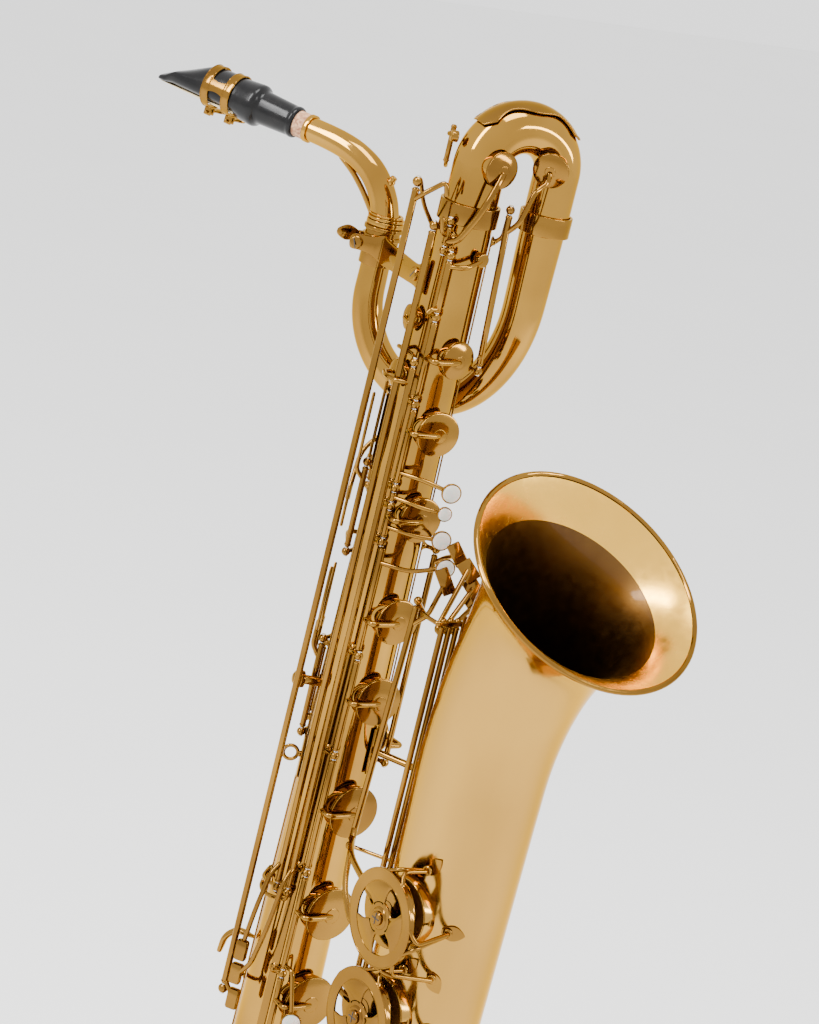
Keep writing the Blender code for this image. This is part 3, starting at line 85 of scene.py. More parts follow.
def noise(nt, scale, detail=4.0, rough=0.55, vec=None, dist=0.0):
    n = nt.nodes.new("ShaderNodeTexNoise")
    n.inputs["Scale"].default_value = scale
    n.inputs["Detail"].default_value = detail
    n.inputs["Roughness"].default_value = rough
    n.inputs["Distortion"].default_value = dist
    link(nt, vec, n.inputs["Vector"])
    return n.outputs["Fac"]


def ramp(nt, fac, stops):
    r = nt.nodes.new("ShaderNodeValToRGB")
    while len(r.color_ramp.elements) < len(stops):
        r.color_ramp.elements.new(0.5)
    for e, (p, c) in zip(r.color_ramp.elements, stops):
        e.position, e.color = p, c
    link(nt, fac, r.inputs["Fac"])
    return r.outputs["Color"]


def bump(nt, height, strength, dist, chain=None):
    b = nt.nodes.new("ShaderNodeBump")
    b.inputs["Strength"].default_value = strength
    b.inputs["Distance"].default_value = dist
    link(nt, height, b.inputs["Height"])
    if chain is not None:
        link(nt, chain, b.inputs["Normal"])
    return b.outputs["Normal"]


def coords(nt, scale=(1, 1, 1)):
    t = nt.nodes.new("ShaderNodeTexCoord")
    mp = nt.nodes.new("ShaderNodeMapping")
    mp.inputs["Scale"].default_value = scale
    link(nt, t.outputs["Object"], mp.inputs["Vector"])
    return mp.outputs["Vector"]


def brass(name, light, deep, r0, r1, bump_s=0.05, grain=(1, 1, 1), coat=0.15):
    """Lacquered brass: drifting tone, small smears in the gloss, faint ripple."""
    m, nt, b = new_mat(name)
    v = coords(nt, grain)
    big = noise(nt, 9.0, 3.0, 0.5, v)
    fine = noise(nt, 160.0, 5.0, 0.6, v, 0.4)
    link(nt, ramp(nt, big, [(0.32, (*deep, 1)), (0.62, (*light, 1))]), b.inputs["Base Color"])
    rr = ramp(nt, fine, [(0.30, (r0, r0, r0, 1)), (0.75, (r1, r1, r1, 1))])
    link(nt, rr, b.inputs["Roughness"])
    link(nt, bump(nt, noise(nt, 60.0, 2.0, 0.5, v), bump_s, 0.0004), b.inputs["Normal"])
    b.inputs["Metallic"].default_value = 1.0
    b.inputs["Coat Weight"].default_value = coat
    b.inputs["Coat Roughness"].default_value = 0.06
    b.inputs["Coat Tint"].default_value = (1.0, 0.90, 0.66, 1)
    b.inputs["Specular Tint"].default_value = (1.0, 0.74, 0.34, 1)
    return m


M = {}
M["lacquer"] = brass("lacquered_brass", (0.27, 0.136, 0.020), (0.14, 0.062, 0.008), 0.08, 0.16)
M["tube"] = brass("lacquered_tube", (0.42, 0.224, 0.034), (0.26, 0.127, 0.017), 0.05, 0.11, 0.03)
M["bell"] = brass("bell_brass", (0.46, 0.257, 0.048), (0.35, 0.186, 0.032), 0.11, 0.20, 0.04, (1, 1, 0.4))
# lighter copy of the brass for the band just inside the bell's rim: a painted highlight
M["flare"] = brass("bell_flare", (0.86, 0.49, 0.070), (0.74, 0.40, 0.048), 0.18, 0.30, 0.04)
# inside of every tube: a much darker, duller copy of the brass; the darkness is painted shade
M["inner"] = brass("tube_inside_painted_shade", (0.13, 0.064, 0.016), (0.055, 0.025, 0.007), 0.28, 0.45, 0.05)
M["steel"] = brass("pivot_steel", (0.66, 0.64, 0.60), (0.55, 0.53, 0.50), 0.22, 0.34, 0.05, (1, 1, 1), 0.0)


def plastic(name, c0, c1, scale, r0, r1, bs, bd, coat=0.0, sub=0.0, grain=(1, 1, 1), ior=0.5):
    m, nt, b = new_mat(name)
    v = coords(nt, grain)
    f = noise(nt, scale, 6.0, 0.6, v)
    link(nt, ramp(nt, f, [(0.35, (*c0, 1)), (0.65, (*c1, 1))]), b.inputs["Base Color"])
    link(nt, ramp(nt, noise(nt, scale * 2.3, 4.0, 0.6, v), [(0.3, (r0, r0, r0, 1)), (0.7, (r1, r1, r1, 1))]), b.inputs["Roughness"])
    link(nt, bump(nt, f, bs, bd), b.inputs["Normal"])
    b.inputs["Coat Weight"].default_value = coat
    b.inputs["Coat Roughness"].default_value = 0.08
    b.inputs["Specular IOR Level"].default_value = ior
    b.inputs["Subsurface Weight"].default_value = sub
    b.inputs["Subsurface Scale"].default_value = 0.002
    return m


M["ebonite"] = plastic("ebonite_black", (0.003, 0.003, 0.0035), (0.007, 0.0065, 0.0065), 90.0, 0.16, 0.26, 0.04, 0.0003, 0.0, ior=0.22)
M["cork"] = plastic("cork_sheet", (0.26, 0.10, 0.045), (0.62, 0.36, 0.20), 420.0, 0.75, 0.95, 0.5, 0.0006)
M["cane"] = plastic("reed_cane", (0.70, 0.52, 0.26), (0.86, 0.72, 0.44), 500.0, 0.45, 0.65, 0.25, 0.0003, 0.0, 0.0, (0.15, 0.15, 1))
M["pad"] = plastic("pad_leather", (0.10, 0.055, 0.03), (0.20, 0.11, 0.06), 300.0, 0.6, 0.8, 0.3, 0.0004)
M["felt"] = plastic("bumper_felt", (0.05, 0.035, 0.025), (0.11, 0.08, 0.06), 700.0, 0.9, 1.0, 0.6, 0.0006)
# near-black stand-in put where shade falls: down tone holes, across the bore, in slots; painted shade
M["dark"] = plastic("slot_shadow", (0.02, 0.013, 0.008), (0.04, 0.026, 0.016), 300.0, 0.6, 0.8, 0.1, 0.0002)


def pearl_mat():
    """Mother of pearl: pink to green drift through fine wavy layers."""
    m, nt, b = new_mat("mother_of_pearl")
    v = coords(nt)
    n1 = noise(nt, 130.0, 4.0, 0.6, v, 1.2)
    n2 = noise(nt, 420.0, 4.0, 0.6, v, 2.0)
    c = ramp(nt, n1, [(0.25, (0.60, 0.44, 0.39, 1)), (0.45, (0.70, 0.61, 0.55, 1)), (0.60, (0.55, 0.59, 0.53, 1)), (0.78, (0.66, 0.53, 0.53, 1))])
    link(nt, c, b.inputs["Base Color"])
    link(nt, ramp(nt, n2, [(0.3, (0.10, 0.10, 0.10, 1)), (0.7, (0.22, 0.22, 0.22, 1))]), b.inputs["Roughness"])
    link(nt, bump(nt, n2, 0.06, 0.0003), b.inputs["Normal"])
    b.inputs["Coat Weight"].default_value = 0.6
    b.inputs["Coat Roughness"].default_value = 0.05
    b.inputs["Subsurface Weight"].default_value = 0.15
    b.inputs["Subsurface Scale"].default_value = 0.001
    b.inputs["Sheen Weight"].default_value = 0.15
    return m


M["pearl"] = pearl_mat()


# ------------------------------------------------------------------- geometry
def D(phi):
    a = math.radians(phi)
    return Vector((math.cos(a), -math.sin(a), 0.0))


def P(phi, r, z, cx=0.0):
    return D(phi) * r + Vector((cx, 0, z))


_ct, _st = math.cos(math.radians(KEY_TURN)), math.sin(math.radians(KEY_TURN))


def K(u, v, z):
    """Point of the keywork frame; u and v in millimetres, z in metres."""
    u, v = u / 1000.0, v / 1000.0
    return Vector((u * _ct + v * _st, u * _st - v * _ct, z))


ORIGIN = K(-35.0, 5, 0.5873)            # the strap ring's middle


def body_r(z):
    return BODY_R1 + (1.0185 - z) * BODY_TAPER


class Prim:
    """Closed piece of mesh that waits to be joined into a look."""

    def __init__(self, verts, faces, mat=None, sharp=False):
        self.v = [Vector(p) for p in verts]
        self.f = faces
        self.mat = mat
        self.sharp = sharp

    def move(self, M4):
        self.v = [M4 @ p for p in self.v]


def frames(pts):
    n = len(pts)
    tan = []
    for i in range(n):
        a = pts[max(i - 1, 0)]
        b = pts[min(i + 1, n - 1)]
        tan.append((b - a).normalized())
    ref = Vector((0, 0, 1)) if abs(tan[0].z) < 0.9 else Vector((1, 0, 0))
    nrm = [(ref - tan[0] * ref.dot(tan[0])).normalized()]
    for i in range(1, n):
        v = nrm[-1] - tan[i] * nrm[-1].dot(tan[i])
        nrm.append(v.normalized())
    return tan, nrm


def smooth_path(ctrl, n):
    """Centripetal curve through control points, n points in all."""
    c = [Vector(p) for p in ctrl]
    c = [c[0] * 2 - c[1]] + c + [c[-1] * 2 - c[-2]]
    out = []
    segs = len(c) - 3
    for i in range(n):
        t = i / (n - 1) * segs
        k = min(int(t), segs - 1)
        f = t - k
        p0, p1, p2, p3 = c[k:k + 4]
        out.append(0.5 * ((2 * p1) + (p2 - p0) * f + (2 * p0 - 5 * p1 + 4 * p2 - p3) * f * f
                          + (3 * p1 - p0 - 3 * p2 + p3) * f ** 3))
    return out


def round_corners(pts, radii, share=0.38, steps=5):
    """Polyline whose corners are replaced by short curves."""
    if len(pts) < 3:
        return list(pts), list(radii)
    out, rad = [pts[0]], [radii[0]]
    for i in range(1, len(pts) - 1):
        p, a, b = pts[i], pts[i - 1], pts[i + 1]
        la, lb = (a - p).length, (b - p).length
        c = min(la, lb) * share if i in (1, len(pts) - 2) and len(pts) == 3 else min(la, lb) * 0.42
        pa, pb = p + (a - p) * (c / la), p + (b - p) * (c / lb)
        for k in range(steps + 1):
            t = k / steps
            out.append(pa * (1 - t) ** 2 + p * 2 * t * (1 - t) + pb * t * t)
            rad.append(radii[i])
    out.append(pts[-1])
    rad.append(radii[-1])
    return out, rad


def sweep(pts, radii, n=12, flat=1.0, up=None, mat=None, caps=True, smooth=True):
    """Solid round bar swept along points, its bends and its ends rounded."""
    pts = [Vector(p) for p in pts]
    if isinstance(radii, (int, float)):
        radii = [radii] * len(pts)
    big = max(radii) > 0.008
    n = 64 if big else 16
    if smooth:
        pts, radii = round_corners(pts, radii)
    if caps and not big:
        r0, r1 = radii[0], radii[-1]
        t0 = (pts[0] - pts[1]).normalized()
        t1 = (pts[-1] - pts[-2]).normalized()
        L0, L1 = (pts[1] - pts[0]).length, (pts[-1] - pts[-2]).length
        e0, e1 = min(r0 * 0.5, L0 * 0.4), min(r1 * 0.5, L1 * 0.4)
        A = [(pts[0], r0 * 0.45), (pts[0] - t0 * e0 * 0.3, r0 * 0.86), (pts[0] - t0 * e0, r0)]
        B = [(pts[-1] - t1 * e1, r1), (pts[-1] - t1 * e1 * 0.3, r1 * 0.86), (pts[-1], r1 * 0.45)]
        mid = list(zip(pts[1:-1], radii[1:-1]))
        seq = A + mid + B
        pts, radii = [s[0] for s in seq], [s[1] for s in seq]
    tan, nrm = frames(pts)
    vs, fs = [], []
    for i, p in enumerate(pts):
        a = nrm[i]
        if up is not None:
            a = (Vector(up) - tan[i] * Vector(up).dot(tan[i])).normalized()
        b = tan[i].cross(a)
        for k in range(n):
            t = 2 * math.pi * (k + 0.5) / n
            vs.append(p + a * (math.cos(t) * radii[i] * flat) + b * (math.sin(t) * radii[i]))
    for i in range(len(pts) - 1):
        for k in range(n):
            k2 = (k + 1) % n
            fs.append((i * n + k, i * n + k2, (i + 1) * n + k2, (i + 1) * n + k))
    fs.append(tuple(range(n))[::-1])
    fs.append(tuple((len(pts) - 1) * n + k for k in range(n)))
    return Prim(vs, fs, mat)


def pipe(pts, radii, wall, n=16, mat=None, inner="inner", painted_highlight_rings=None):
    """Hollow tube, open at both ends; outside and inside are two materials, the inside a much darker copy of the brass
    that paints in shade.
    """
    n = 96
    pts = [Vector(p) for p in pts]
    if isinstance(radii, (int, float)):
        radii = [radii] * len(pts)
    tan, nrm = frames(pts)
    m = len(pts)
    out = []
    for shell in (0, 1):
        vs, fs = [], []
        for i, p in enumerate(pts):
            a, b = nrm[i], tan[i].cross(nrm[i])
            r = radii[i] - wall * shell
            for k in range(n):
                t = 2 * math.pi * (k + 0.5) / n
                vs.append(p + a * (math.cos(t) * r) + b * (math.sin(t) * r))
        for i in range(m - 1):
            for k in range(n):
                k2 = (k + 1) % n
                q = (i * n + k, i * n + k2, (i + 1) * n + k2, (i + 1) * n + k)
                fs.append(q if shell == 0 else q[::-1])
        if shell == 0:                       # closed by a lip at each end
            o = len(vs)
            for i in (0, m - 1):
                a, b = nrm[i], tan[i].cross(nrm[i])
                r = radii[i] - wall
                for k in range(n):
                    t = 2 * math.pi * (k + 0.5) / n
                    vs.append(pts[i] + a * (math.cos(t) * r) + b * (math.sin(t) * r))
            for j, i in enumerate((0, m - 1)):
                for k in range(n):
                    k2 = (k + 1) % n
                    fs.append((i * n + k, o + j * n + k, o + j * n + k2, i * n + k2) if j == 0
                              else (i * n + k2, o + j * n + k2, o + j * n + k, i * n + k))
        if shell and painted_highlight_rings:                   # painted highlight: the rings just inside the rim take a much lighter copy of the brass
            cut_at = (m - 1 - painted_highlight_rings) * n
            near = Prim(vs, fs[cut_at:], "flare")
            near.keep = True
            out.append(near)
            fs = fs[:cut_at]
        p_ = Prim(vs, fs, mat if shell == 0 else inner)
        p_.keep = True
        out.append(p_)
    return out


def fillet(profile, rad):
    """Rounds the corners of a closed or axis-ended profile."""
    out = []
    m = len(profile)
    closed = profile[0][0] > 1e-7
    for i, (r, h) in enumerate(profile):
        if r < 1e-7 or (not closed and i in (0, m - 1)):
            out.append((r, h))
            continue
        p = Vector((r, h))
        a, b = Vector(profile[i - 1]), Vector(profile[(i + 1) % m])
        la, lb = (a - p).length, (b - p).length
        if la < 1e-7 or lb < 1e-7:
            out.append((r, h))
            continue
        c = min(rad, la * 0.45, lb * 0.45)
        pa, pb = p + (a - p) * (c / la), p + (b - p) * (c / lb)
        for t in (0.0, 0.33, 0.67, 1.0):
            q = pa * (1 - t) ** 2 + p * 2 * t * (1 - t) + pb * t * t
            out.append((q.x, q.y))
    return out


def turn(profile, origin, axis, n=14, mat=None, rad=0.0004):
    """Body of revolution with softened edges."""
    origin, w = Vector(origin), Vector(axis).normalized()
    big = max(p[0] for p in profile)
    n = 96 if big > 0.03 else 56 if big > 0.009 else 32 if big > 0.003 else 20
    profile = fillet(profile, rad)
    ref = Vector((0, 0, 1)) if abs(w.z) < 0.9 else Vector((1, 0, 0))
    a = (ref - w * ref.dot(w)).normalized()
    b = w.cross(a)
    vs, fs, rings = [], [], []
    for r, h in profile:
        if r < 1e-7:
            rings.append([len(vs)])
            vs.append(origin + w * h)
        else:
            rings.append(list(range(len(vs), len(vs) + n)))
            for k in range(n):
                t = 2 * math.pi * (k + 0.5) / n
                vs.append(origin + w * h + a * (math.cos(t) * r) + b * (math.sin(t) * r))
    m = len(profile)
    closed = profile[0][0] > 1e-7
    for i in range(m if closed else m - 1):
        A, B = rings[i], rings[(i + 1) % m]
        for k in range(n):
            k2 = (k + 1) % n
            if len(A) == 1 and len(B) == 1:
                continue
            if len(A) == 1:
                fs.append((A[0], B[k], B[k2]))
            elif len(B) == 1:
                fs.append((A[k], B[0], A[k2]))
            else:
                fs.append((A[k], B[k], B[k2], A[k2]))
    return Prim(vs, fs, mat)


def disc(c, axis, r, h, n=12, mat=None):
    return turn([(0, 0), (r, 0), (r, h), (0, h)], c, axis, n, mat, min(0.0005, h * 0.3))


def ring(c, axis, ri, ro, h0, h1, n=16, mat=None):
    return turn([(ri, h0), (ro, h0), (ro, h1), (ri, h1)], c, axis, n, mat, min(0.0006, (h1 - h0) * 0.25))


def ball(c, r, axis=(0, 0, 1), n=6, mat=None):
    prof = [(0, -r)] + [(r * math.cos(a), r * math.sin(a)) for a in
                        [math.radians(d) for d in (-72, -54, -36, -18, 0, 18, 36, 54, 72)]] + [(0, r)]
    return turn(prof, c, axis, n, mat, 0.0)


def torus(c, axis, R, r, n=64, k=14, mat=None):
    prof = [(R + r * math.cos(2 * math.pi * i / k), r * math.sin(2 * math.pi * i / k)) for i in range(k)]
    return turn(prof, c, axis, n, mat, 0.0)


def bar(p0, p1, w, t, up, mat=None, nseg=1):
    """Flat bar with rounded edges and ends."""
    p0, p1, up = Vector(p0), Vector(p1), Vector(up)
    d = (p1 - p0).normalized()
    u = (up - d * up.dot(d)).normalized()
    s = d.cross(u)
    L = (p1 - p0).length
    rc_ = min(w, t) * 0.32
    sec = []
    for sx, sy, a0 in ((1, -1, -90), (1, 1, 0), (-1, 1, 90), (-1, -1, 180)):
        for k in range(4):
            a = math.radians(a0 + 30 * k)
            sec.append((sx * (w / 2 - rc_) + rc_ * math.cos(a), sy * (t / 2 - rc_) + rc_ * math.sin(a)))
    e = min(rc_, L * 0.2)
    vs, fs = [], []
    m = len(sec)
    st = [(0.0, e), (e * 0.3, e * 0.3), (e, 0.0), (L - e, 0.0), (L - e * 0.3, e * 0.3), (L, e)]
    for x, inset in st:
        for sx, sy in sec:
            kx, ky = max(0.0, 1 - inset / (w / 2)), max(0.0, 1 - inset / (t / 2))
            vs.append(p0 + d * x + s * (sx * kx) + u * (sy * ky))
    for i in range(len(st) - 1):
        for k in range(m):
            k2 = (k + 1) % m
            fs.append((i * m + k, i * m + k2, (i + 1) * m + k2, (i + 1) * m + k))
    fs.append(tuple(range(m))[::-1])
    fs.append(tuple((len(st) - 1) * m + k for k in range(m)))
    return Prim(vs, fs, mat)


def plate(outline, origin, ex, ey, t, mat=None, soft=True, dome=0.0):
    """Plate cut to an outline, its edge rounded over; dome is not used."""
    origin, ex, ey = Vector(origin), Vector(ex).normalized(), Vector(ey).normalized()
    nz = ex.cross(ey).normalized()
    pts = [Vector((x, y)) for x, y in outline]
    if soft:
        out, n = [], len(pts)
        for i in range(n):
            p0, p1, p2, p3 = pts[i - 1], pts[i], pts[(i + 1) % n], pts[(i + 2) % n]
            for k in range(5):
                f = k / 5
                out.append(0.5 * ((2 * p1) + (p2 - p0) * f + (2 * p0 - 5 * p1 + 4 * p2 - p3) * f * f
                                  + (3 * p1 - p0 - 3 * p2 + p3) * f ** 3))
        pts = out
    n = len(pts)
    cx = sum((p.x for p in pts)) / n
    cy = sum((p.y for p in pts)) / n
    area = sum(pts[i].x * pts[(i + 1) % n].y - pts[(i + 1) % n].x * pts[i].y for i in range(n))
    if area < 0:
        pts = pts[::-1]
    nor = []
    for i in range(n):
        d = (pts[(i + 1) % n] - pts[i - 1])
        d = d.normalized() if d.length > 1e-9 else Vector((1, 0))
        nor.append(Vector((d.y, -d.x)))
    e = t * 0.42
    rings = [(-t / 2, e), (-t / 2 + e * 0.3, e * 0.3), (-t / 2 + e, 0), (t / 2 - e, 0), (t / 2 - e * 0.3, e * 0.3), (t / 2, e)]
    vs, fs = [], []
    for h, inset in rings:
        for p, q in zip(pts, nor):
            r = p - q * inset
            vs.append(origin + ex * r.x + ey * r.y + nz * h)
    for i in range(len(rings) - 1):
        for k in range(n):
            k2 = (k + 1) % n
            fs.append((i * n + k, i * n + k2, (i + 1) * n + k2, (i + 1) * n + k))
    fs.append(tuple(range(n))[::-1])
    fs.append(tuple((len(rings) - 1) * n + k for k in range(n)))
    return Prim(vs, fs, mat)


MADE = {}


def build(name, prims, mat):
    vs, fs = [], []
    for p in prims:
        o = len(vs)
        vs += [tuple(q - ORIGIN) for q in p.v]
        fs += [tuple(i + o for i in f) for f in p.f]
    me = bpy.data.meshes.new(name)
    me.from_pydata(vs, [], fs)
    me.update()
    bm = bmesh.new()
    bm.from_mesh(me)
    if not any(getattr(p, "keep", False) for p in prims):
        bmesh.ops.recalc_face_normals(bm, faces=bm.faces)
    bm.to_mesh(me)
    bm.free()
    me.materials.append(M[mat])
    me.shade_smooth()
    me.set_sharp_from_angle(angle=math.radians(38))
    ob = bpy.data.objects.new(name, me)
    bpy.context.scene.collection.objects.link(ob)
    return ob


def flatten(prims):
    out = []
    for p in prims:
        if isinstance(p, (list, tuple)):
            out += flatten(p)
        else:
            out.append(p)
    return out


def solid(name, prims, mat, cuts=(), pivot=None, inter=None):
    """Joins the pieces of one CAD node's look, one object per material."""
    prims = flatten(prims)
    mat = "tube" if name in TUBES else mat
    groups, keep = {}, {}
    for p in prims:
        key = p.mat or mat
        groups.setdefault((key, getattr(p, "keep", False)), []).append(p)
    first = True
    for (key, kp), ps in sorted(groups.items(), key=lambda g: (g[0][0] != mat, g[0][0], g[0][1])):
        ob = build("%s_%s%s" % (name, key, "_shell" if kp else ""), ps, key)
        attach(ob, BODY_OF[name])
        if first:
            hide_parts(name)
            first = False
        MADE.setdefault(name, []).append(ob)
    return None


TUBES = {"body_tube", "bottom_bow", "upper_crook", "pigtail", "neck"}


# ------------------------------------------------------------- bell and bows
def bell_axis(n_line=16, n_bend=90):
    pts = [Vector((BELL_X, 0, BODY_Z0 + (BELL_BEND_Z - BODY_Z0) * i / n_line)) for i in range(n_line)]
    for i in range(n_bend):
        a = math.radians(BELL_LEAN) * i / (n_bend - 1)
        pts.append(Vector((BELL_X + BELL_BEND_R * (1 - math.cos(a)), 0,
                           BELL_BEND_Z + BELL_BEND_R * math.sin(a))))
    return pts


def bell_radius(s_to_rim):
    """Outer radius at a distance below the rim, measured along the axis."""
    cone = 0.0462 - 0.0145 * max(s_to_rim - 0.19, 0)
    return cone + (BELL_RIM_R - 0.0462) * math.exp(-s_to_rim / 0.034) \
        + 0.0012 * math.exp(-((s_to_rim - 0.10) / 0.06) ** 2)


bp = bell_axis()
bp.sort(key=lambda p: p.z)
s = 0.0
dist = [0.0]
for i in range(len(bp) - 1, 0, -1):
    s += (bp[i] - bp[i - 1]).length
    dist.append(s)
dist.reverse()
bell_r = [bell_radius(d) for d in dist]
rim_c, rim_n = bp[-1], Vector((math.sin(math.radians(BELL_LEAN)), 0, math.cos(math.radians(BELL_LEAN))))


def bell_tube_r(z):
    return bell_radius(0.19 + (BELL_BEND_Z - z))


BELL_HOLES = (("B", 84, 0.548, 0.0255), ("Bb", 84, 0.470, 0.0262), ("A", 84, 0.345, 0.0275),
              ("Cs", 216, 0.270, 0.0245))
# the last 20 mm inside the rim carry the painted-highlight brass
tube = pipe(bp, bell_r, WALL, 20, painted_highlight_rings=sum(1 for d in dist if d < 0.020))
rimring = [torus(rim_c - rim_n * 0.0009, rim_n, BELL_RIM_R + 0.0002, 0.0021, mat="lacquer")]
prims, cuts = [tube, rimring], []
for _, ph, z, r in BELL_HOLES:
    R = bell_tube_r(z)
    base = math.sqrt(R * R - r * r) - 0.0005
    prims.append(turn([(r - 0.0012, base), (r, base), (r, R + CHIM), (r - 0.0012, R + CHIM)],
                      (BELL_X, 0, z), D(ph), 12))
    prims.append(torus(P(ph, R + CHIM - 0.0008, z, BELL_X), D(ph), r - 0.0003, 0.0006, mat="lacquer"))
solid("bell", prims, "bell")

# bottom bow: half circle between the body tube and the bell tube
bw, br = [Vector((0, 0, BODY_Z0 - GAP))], [body_r(BODY_Z0)]
rb0, rb1 = body_r(BODY_Z0), bell_tube_r(BODY_Z0)
nb = 44
for i in range(nb + 1):
    a = math.pi * i / nb
    bw.append(Vector((BELL_X / 2 - math.cos(a) * BELL_X / 2, 0, BOW_ZC - math.sin(a) * BELL_X / 2)))
    br.append(rb0 + (rb1 - rb0) * (i + 1) / (nb + 2) - 0.0012 * math.sin(a))
bw.append(Vector((BELL_X, 0, BODY_Z0 - GAP)))
br.append(rb1)
BOW_HOLE = (35, 0.118, 0.0255)
bow = pipe(bw, br, WALL, 16)
solid("bottom_bow", [bow], "lacquer")

# sleeves over the bow's two joints
solid("bow_sleeve_body", [ring((0, 0, BODY_Z0), (0, 0, 1), rb0 + GAP + 0.0003, rb0 + 0.0030, -0.011, 0.011, 16)], "lacquer")
solid("bow_sleeve_bell", [ring((BELL_X, 0, BODY_Z0), (0, 0, 1), rb1 + GAP + 0.0003, rb1 + 0.0030, -0.011, 0.011, 16)], "lacquer")

# --------------------------------------------------------------- body tube
# tone holes on the body tube: name, azimuth, height, cup radius
HOLES = (
    ("c1", -3, 0.9138, 0.0142), ("c2", 4, 0.8583, 0.0168), ("c3", 0, 0.7925, 0.0172),
    ("c4", -1, 0.7125, 0.0176), ("c5", 0, 0.6490, 0.0185), ("c6", -2, 0.5598, 0.0205),
    ("c7", -3, 0.4760, 0.0212), ("c8", -2, 0.4018, 0.0218), ("c9", -2, 0.3200, 0.0225),
    ("c10", 77, 0.2620, 0.0225), ("c11", -5, 0.2150, 0.0240),
    ("s1", 215, 0.8300, 0.0110), ("s2", 215, 0.7940, 0.0118), ("s3", 215, 0.7560, 0.0125),
    ("s4", 106, 0.9350, 0.0095), ("s5", 106, 0.8930, 0.0100), ("g1", 270, 0.6100, 0.0150),
)
zb_ = [BODY_Z0 + (BODY_Z1 - BODY_Z0) * i / 20 for i in range(21)]
prims = [pipe([(0, 0, z) for z in zb_], [body_r(z) for z in zb_], WALL)]
for nm, ph, z, rc in HOLES:
    R, r = body_r(z), rc - 0.0018
    base = math.sqrt(max(R * R - r * r, 1e-6)) - 0.0015
    prims.append(turn([(r - 0.0012, base), (r, base), (r, R + CHIM), (r - 0.0012, R + CHIM)], (0, 0, z), D(ph), 40))
    # a near-black disc down each chimney: painted shade of the tube's inside
    prims.append(turn([(0, R * 0.72), (r - 0.0012, base), (r - 0.0012, base + 0.0016), (0, R * 0.74)], (0, 0, z), D(ph), 40, "dark"))
# an engraved pair of lines near the bow
for z in (0.1935, 0.1965):
    prims.append(torus((0, 0, z), (0, 0, 1), body_r(z) - 0.0002, 0.0004))
solid("body_tube", prims, "tube")

# ------------------------------------------------------ crook and pigtail
cd = Vector((CROOK_DIR[0], CROOK_DIR[1], 0))
cr = cd.length / 2
cu = cd.normalized()
cp = [Vector((0, 0, 1.0185 + 0.0006))]
crad = [0.01945]
for i in range(49):
    a = math.pi * i / 48
    cp.append(cu * (cr - math.cos(a) * cr) + Vector((0, 0, CROOK_ZC + math.sin(a) * cr)))
    crad.append(0.0194 - 0.0024 * i / 48)
cp.append(cd + Vector((0, 0, 1.0185 + 0.0006)))
crad.append(0.0169)
CHIM2 = 0.0042                          # chimneys of the two crook vents
va = math.radians(24)                   # the second vent sits this far round the bend
vt = Vector((-cu.x * math.sin(va), -cu.y * math.sin(va), math.cos(va)))
VC = cu * (cr + math.cos(va) * cr) + Vector((0, 0, CROOK_ZC + math.sin(va) * cr))
VN = (D(50) - vt * vt.dot(D(50))).normalized()
VENTS = ((Vector((0, 0, 1.056)), D(-1), 0.0112, 0.0193), (VC, VN, 0.0108, 0.0174))
cprims, ccuts = [pipe(cp, crad, WALL, 16)], []
for c, vn, r, R in VENTS:
    base = 0.0140
    cprims.append(turn([(r - 0.0012, base), (r, base), (r, R + CHIM2), (r - 0.0012, R + CHIM2)], c, vn, 10))
solid("upper_crook", cprims, "lacquer")
solid("crook_sleeve_body", [ring((0, 0, 1.0180), (0, 0, 1), 0.0201, 0.0222, -0.0075, 0.0075, 16)], "lacquer")
solid("crook_sleeve_loop", [ring(cd + Vector((0, 0, 1.0180)), (0, 0, 1), 0.01755, 0.0196, -0.0075, 0.0075, 16)], "lacquer")

rc = Vector((RECEIVER[0], RECEIVER[1], 0))
across = rc - cd
lp, lr = [], []
lp.append(cd + Vector((0, 0, 1.0170)))
W = across.length
for i in range(61):
    a = math.pi * i / 60
    x = (1 - math.cos(a)) / 2
    depth = 0.089 if x < 0.5 else 0.066
    top = 0.955 if x < 0.5 else 0.932
    z = top - depth * math.sin(a)
    if abs(x - 0.5) < 1e-6:
        z = 0.866
    lp.append(cd + across * x + Vector((0, 0, z)))
lp.append(rc + Vector((0, 0, LOOP_TOP)))
tot = sum((lp[i + 1] - lp[i]).length for i in range(len(lp) - 1))
s = 0.0
for i, p in enumerate(lp):
    if i:
        s += (p - lp[i - 1]).length
    lr.append(0.0166 - (0.0166 - 0.0108) * s / tot)
solid("pigtail", [pipe(lp, lr, 0.0009, 14)], "lacquer")


def P3(vec, z):
    return Vector((vec.x, vec.y, z))


nd = K(-0.35, -0.94, 0).normalized()     # the side where the clamp lugs stand
ns = Vector((nd.y, -nd.x, 0)).normalized()
nd.z = 0
# receiver: split socket with two collars and a pair of clamp lugs
RZ = 0.950
rec = [ring(P3(rc, RZ), (0, 0, 1), 0.01135, 0.0132, 0.0, 0.0295, 18),
       ring(P3(rc, RZ), (0, 0, 1), 0.0120, 0.0148, 0.0200, 0.0230, 18),
       ring(P3(rc, RZ), (0, 0, 1), 0.0120, 0.0148, 0.0265, 0.0295, 18)]
lug = nd * 0.0165
rec.append(bar(rc + lug - ns * 0.0045 + Vector((0, 0, RZ + 0.0165)), rc + lug - ns * 0.0010 + Vector((0, 0, RZ + 0.0165)), 0.009, 0.009, nd))
rec.append(bar(rc + lug + ns * 0.0010 + Vector((0, 0, RZ + 0.0165)), rc + lug + ns * 0.0045 + Vector((0, 0, RZ + 0.0165)), 0.009, 0.009, nd))
# the clamp slot is a near-black bar: painted shade
slot = bar(rc + nd * 0.0125 + Vector((0, 0, RZ + 0.0165)), rc + nd * 0.01335 + Vector((0, 0, RZ + 0.0165)), 0.0018, 0.028, (0, 0, 1), "dark")
scr_c = rc + nd * 0.0175 + Vector((0, 0, RZ + 0.0165))
solid("neck_receiver", rec + [slot], "lacquer")
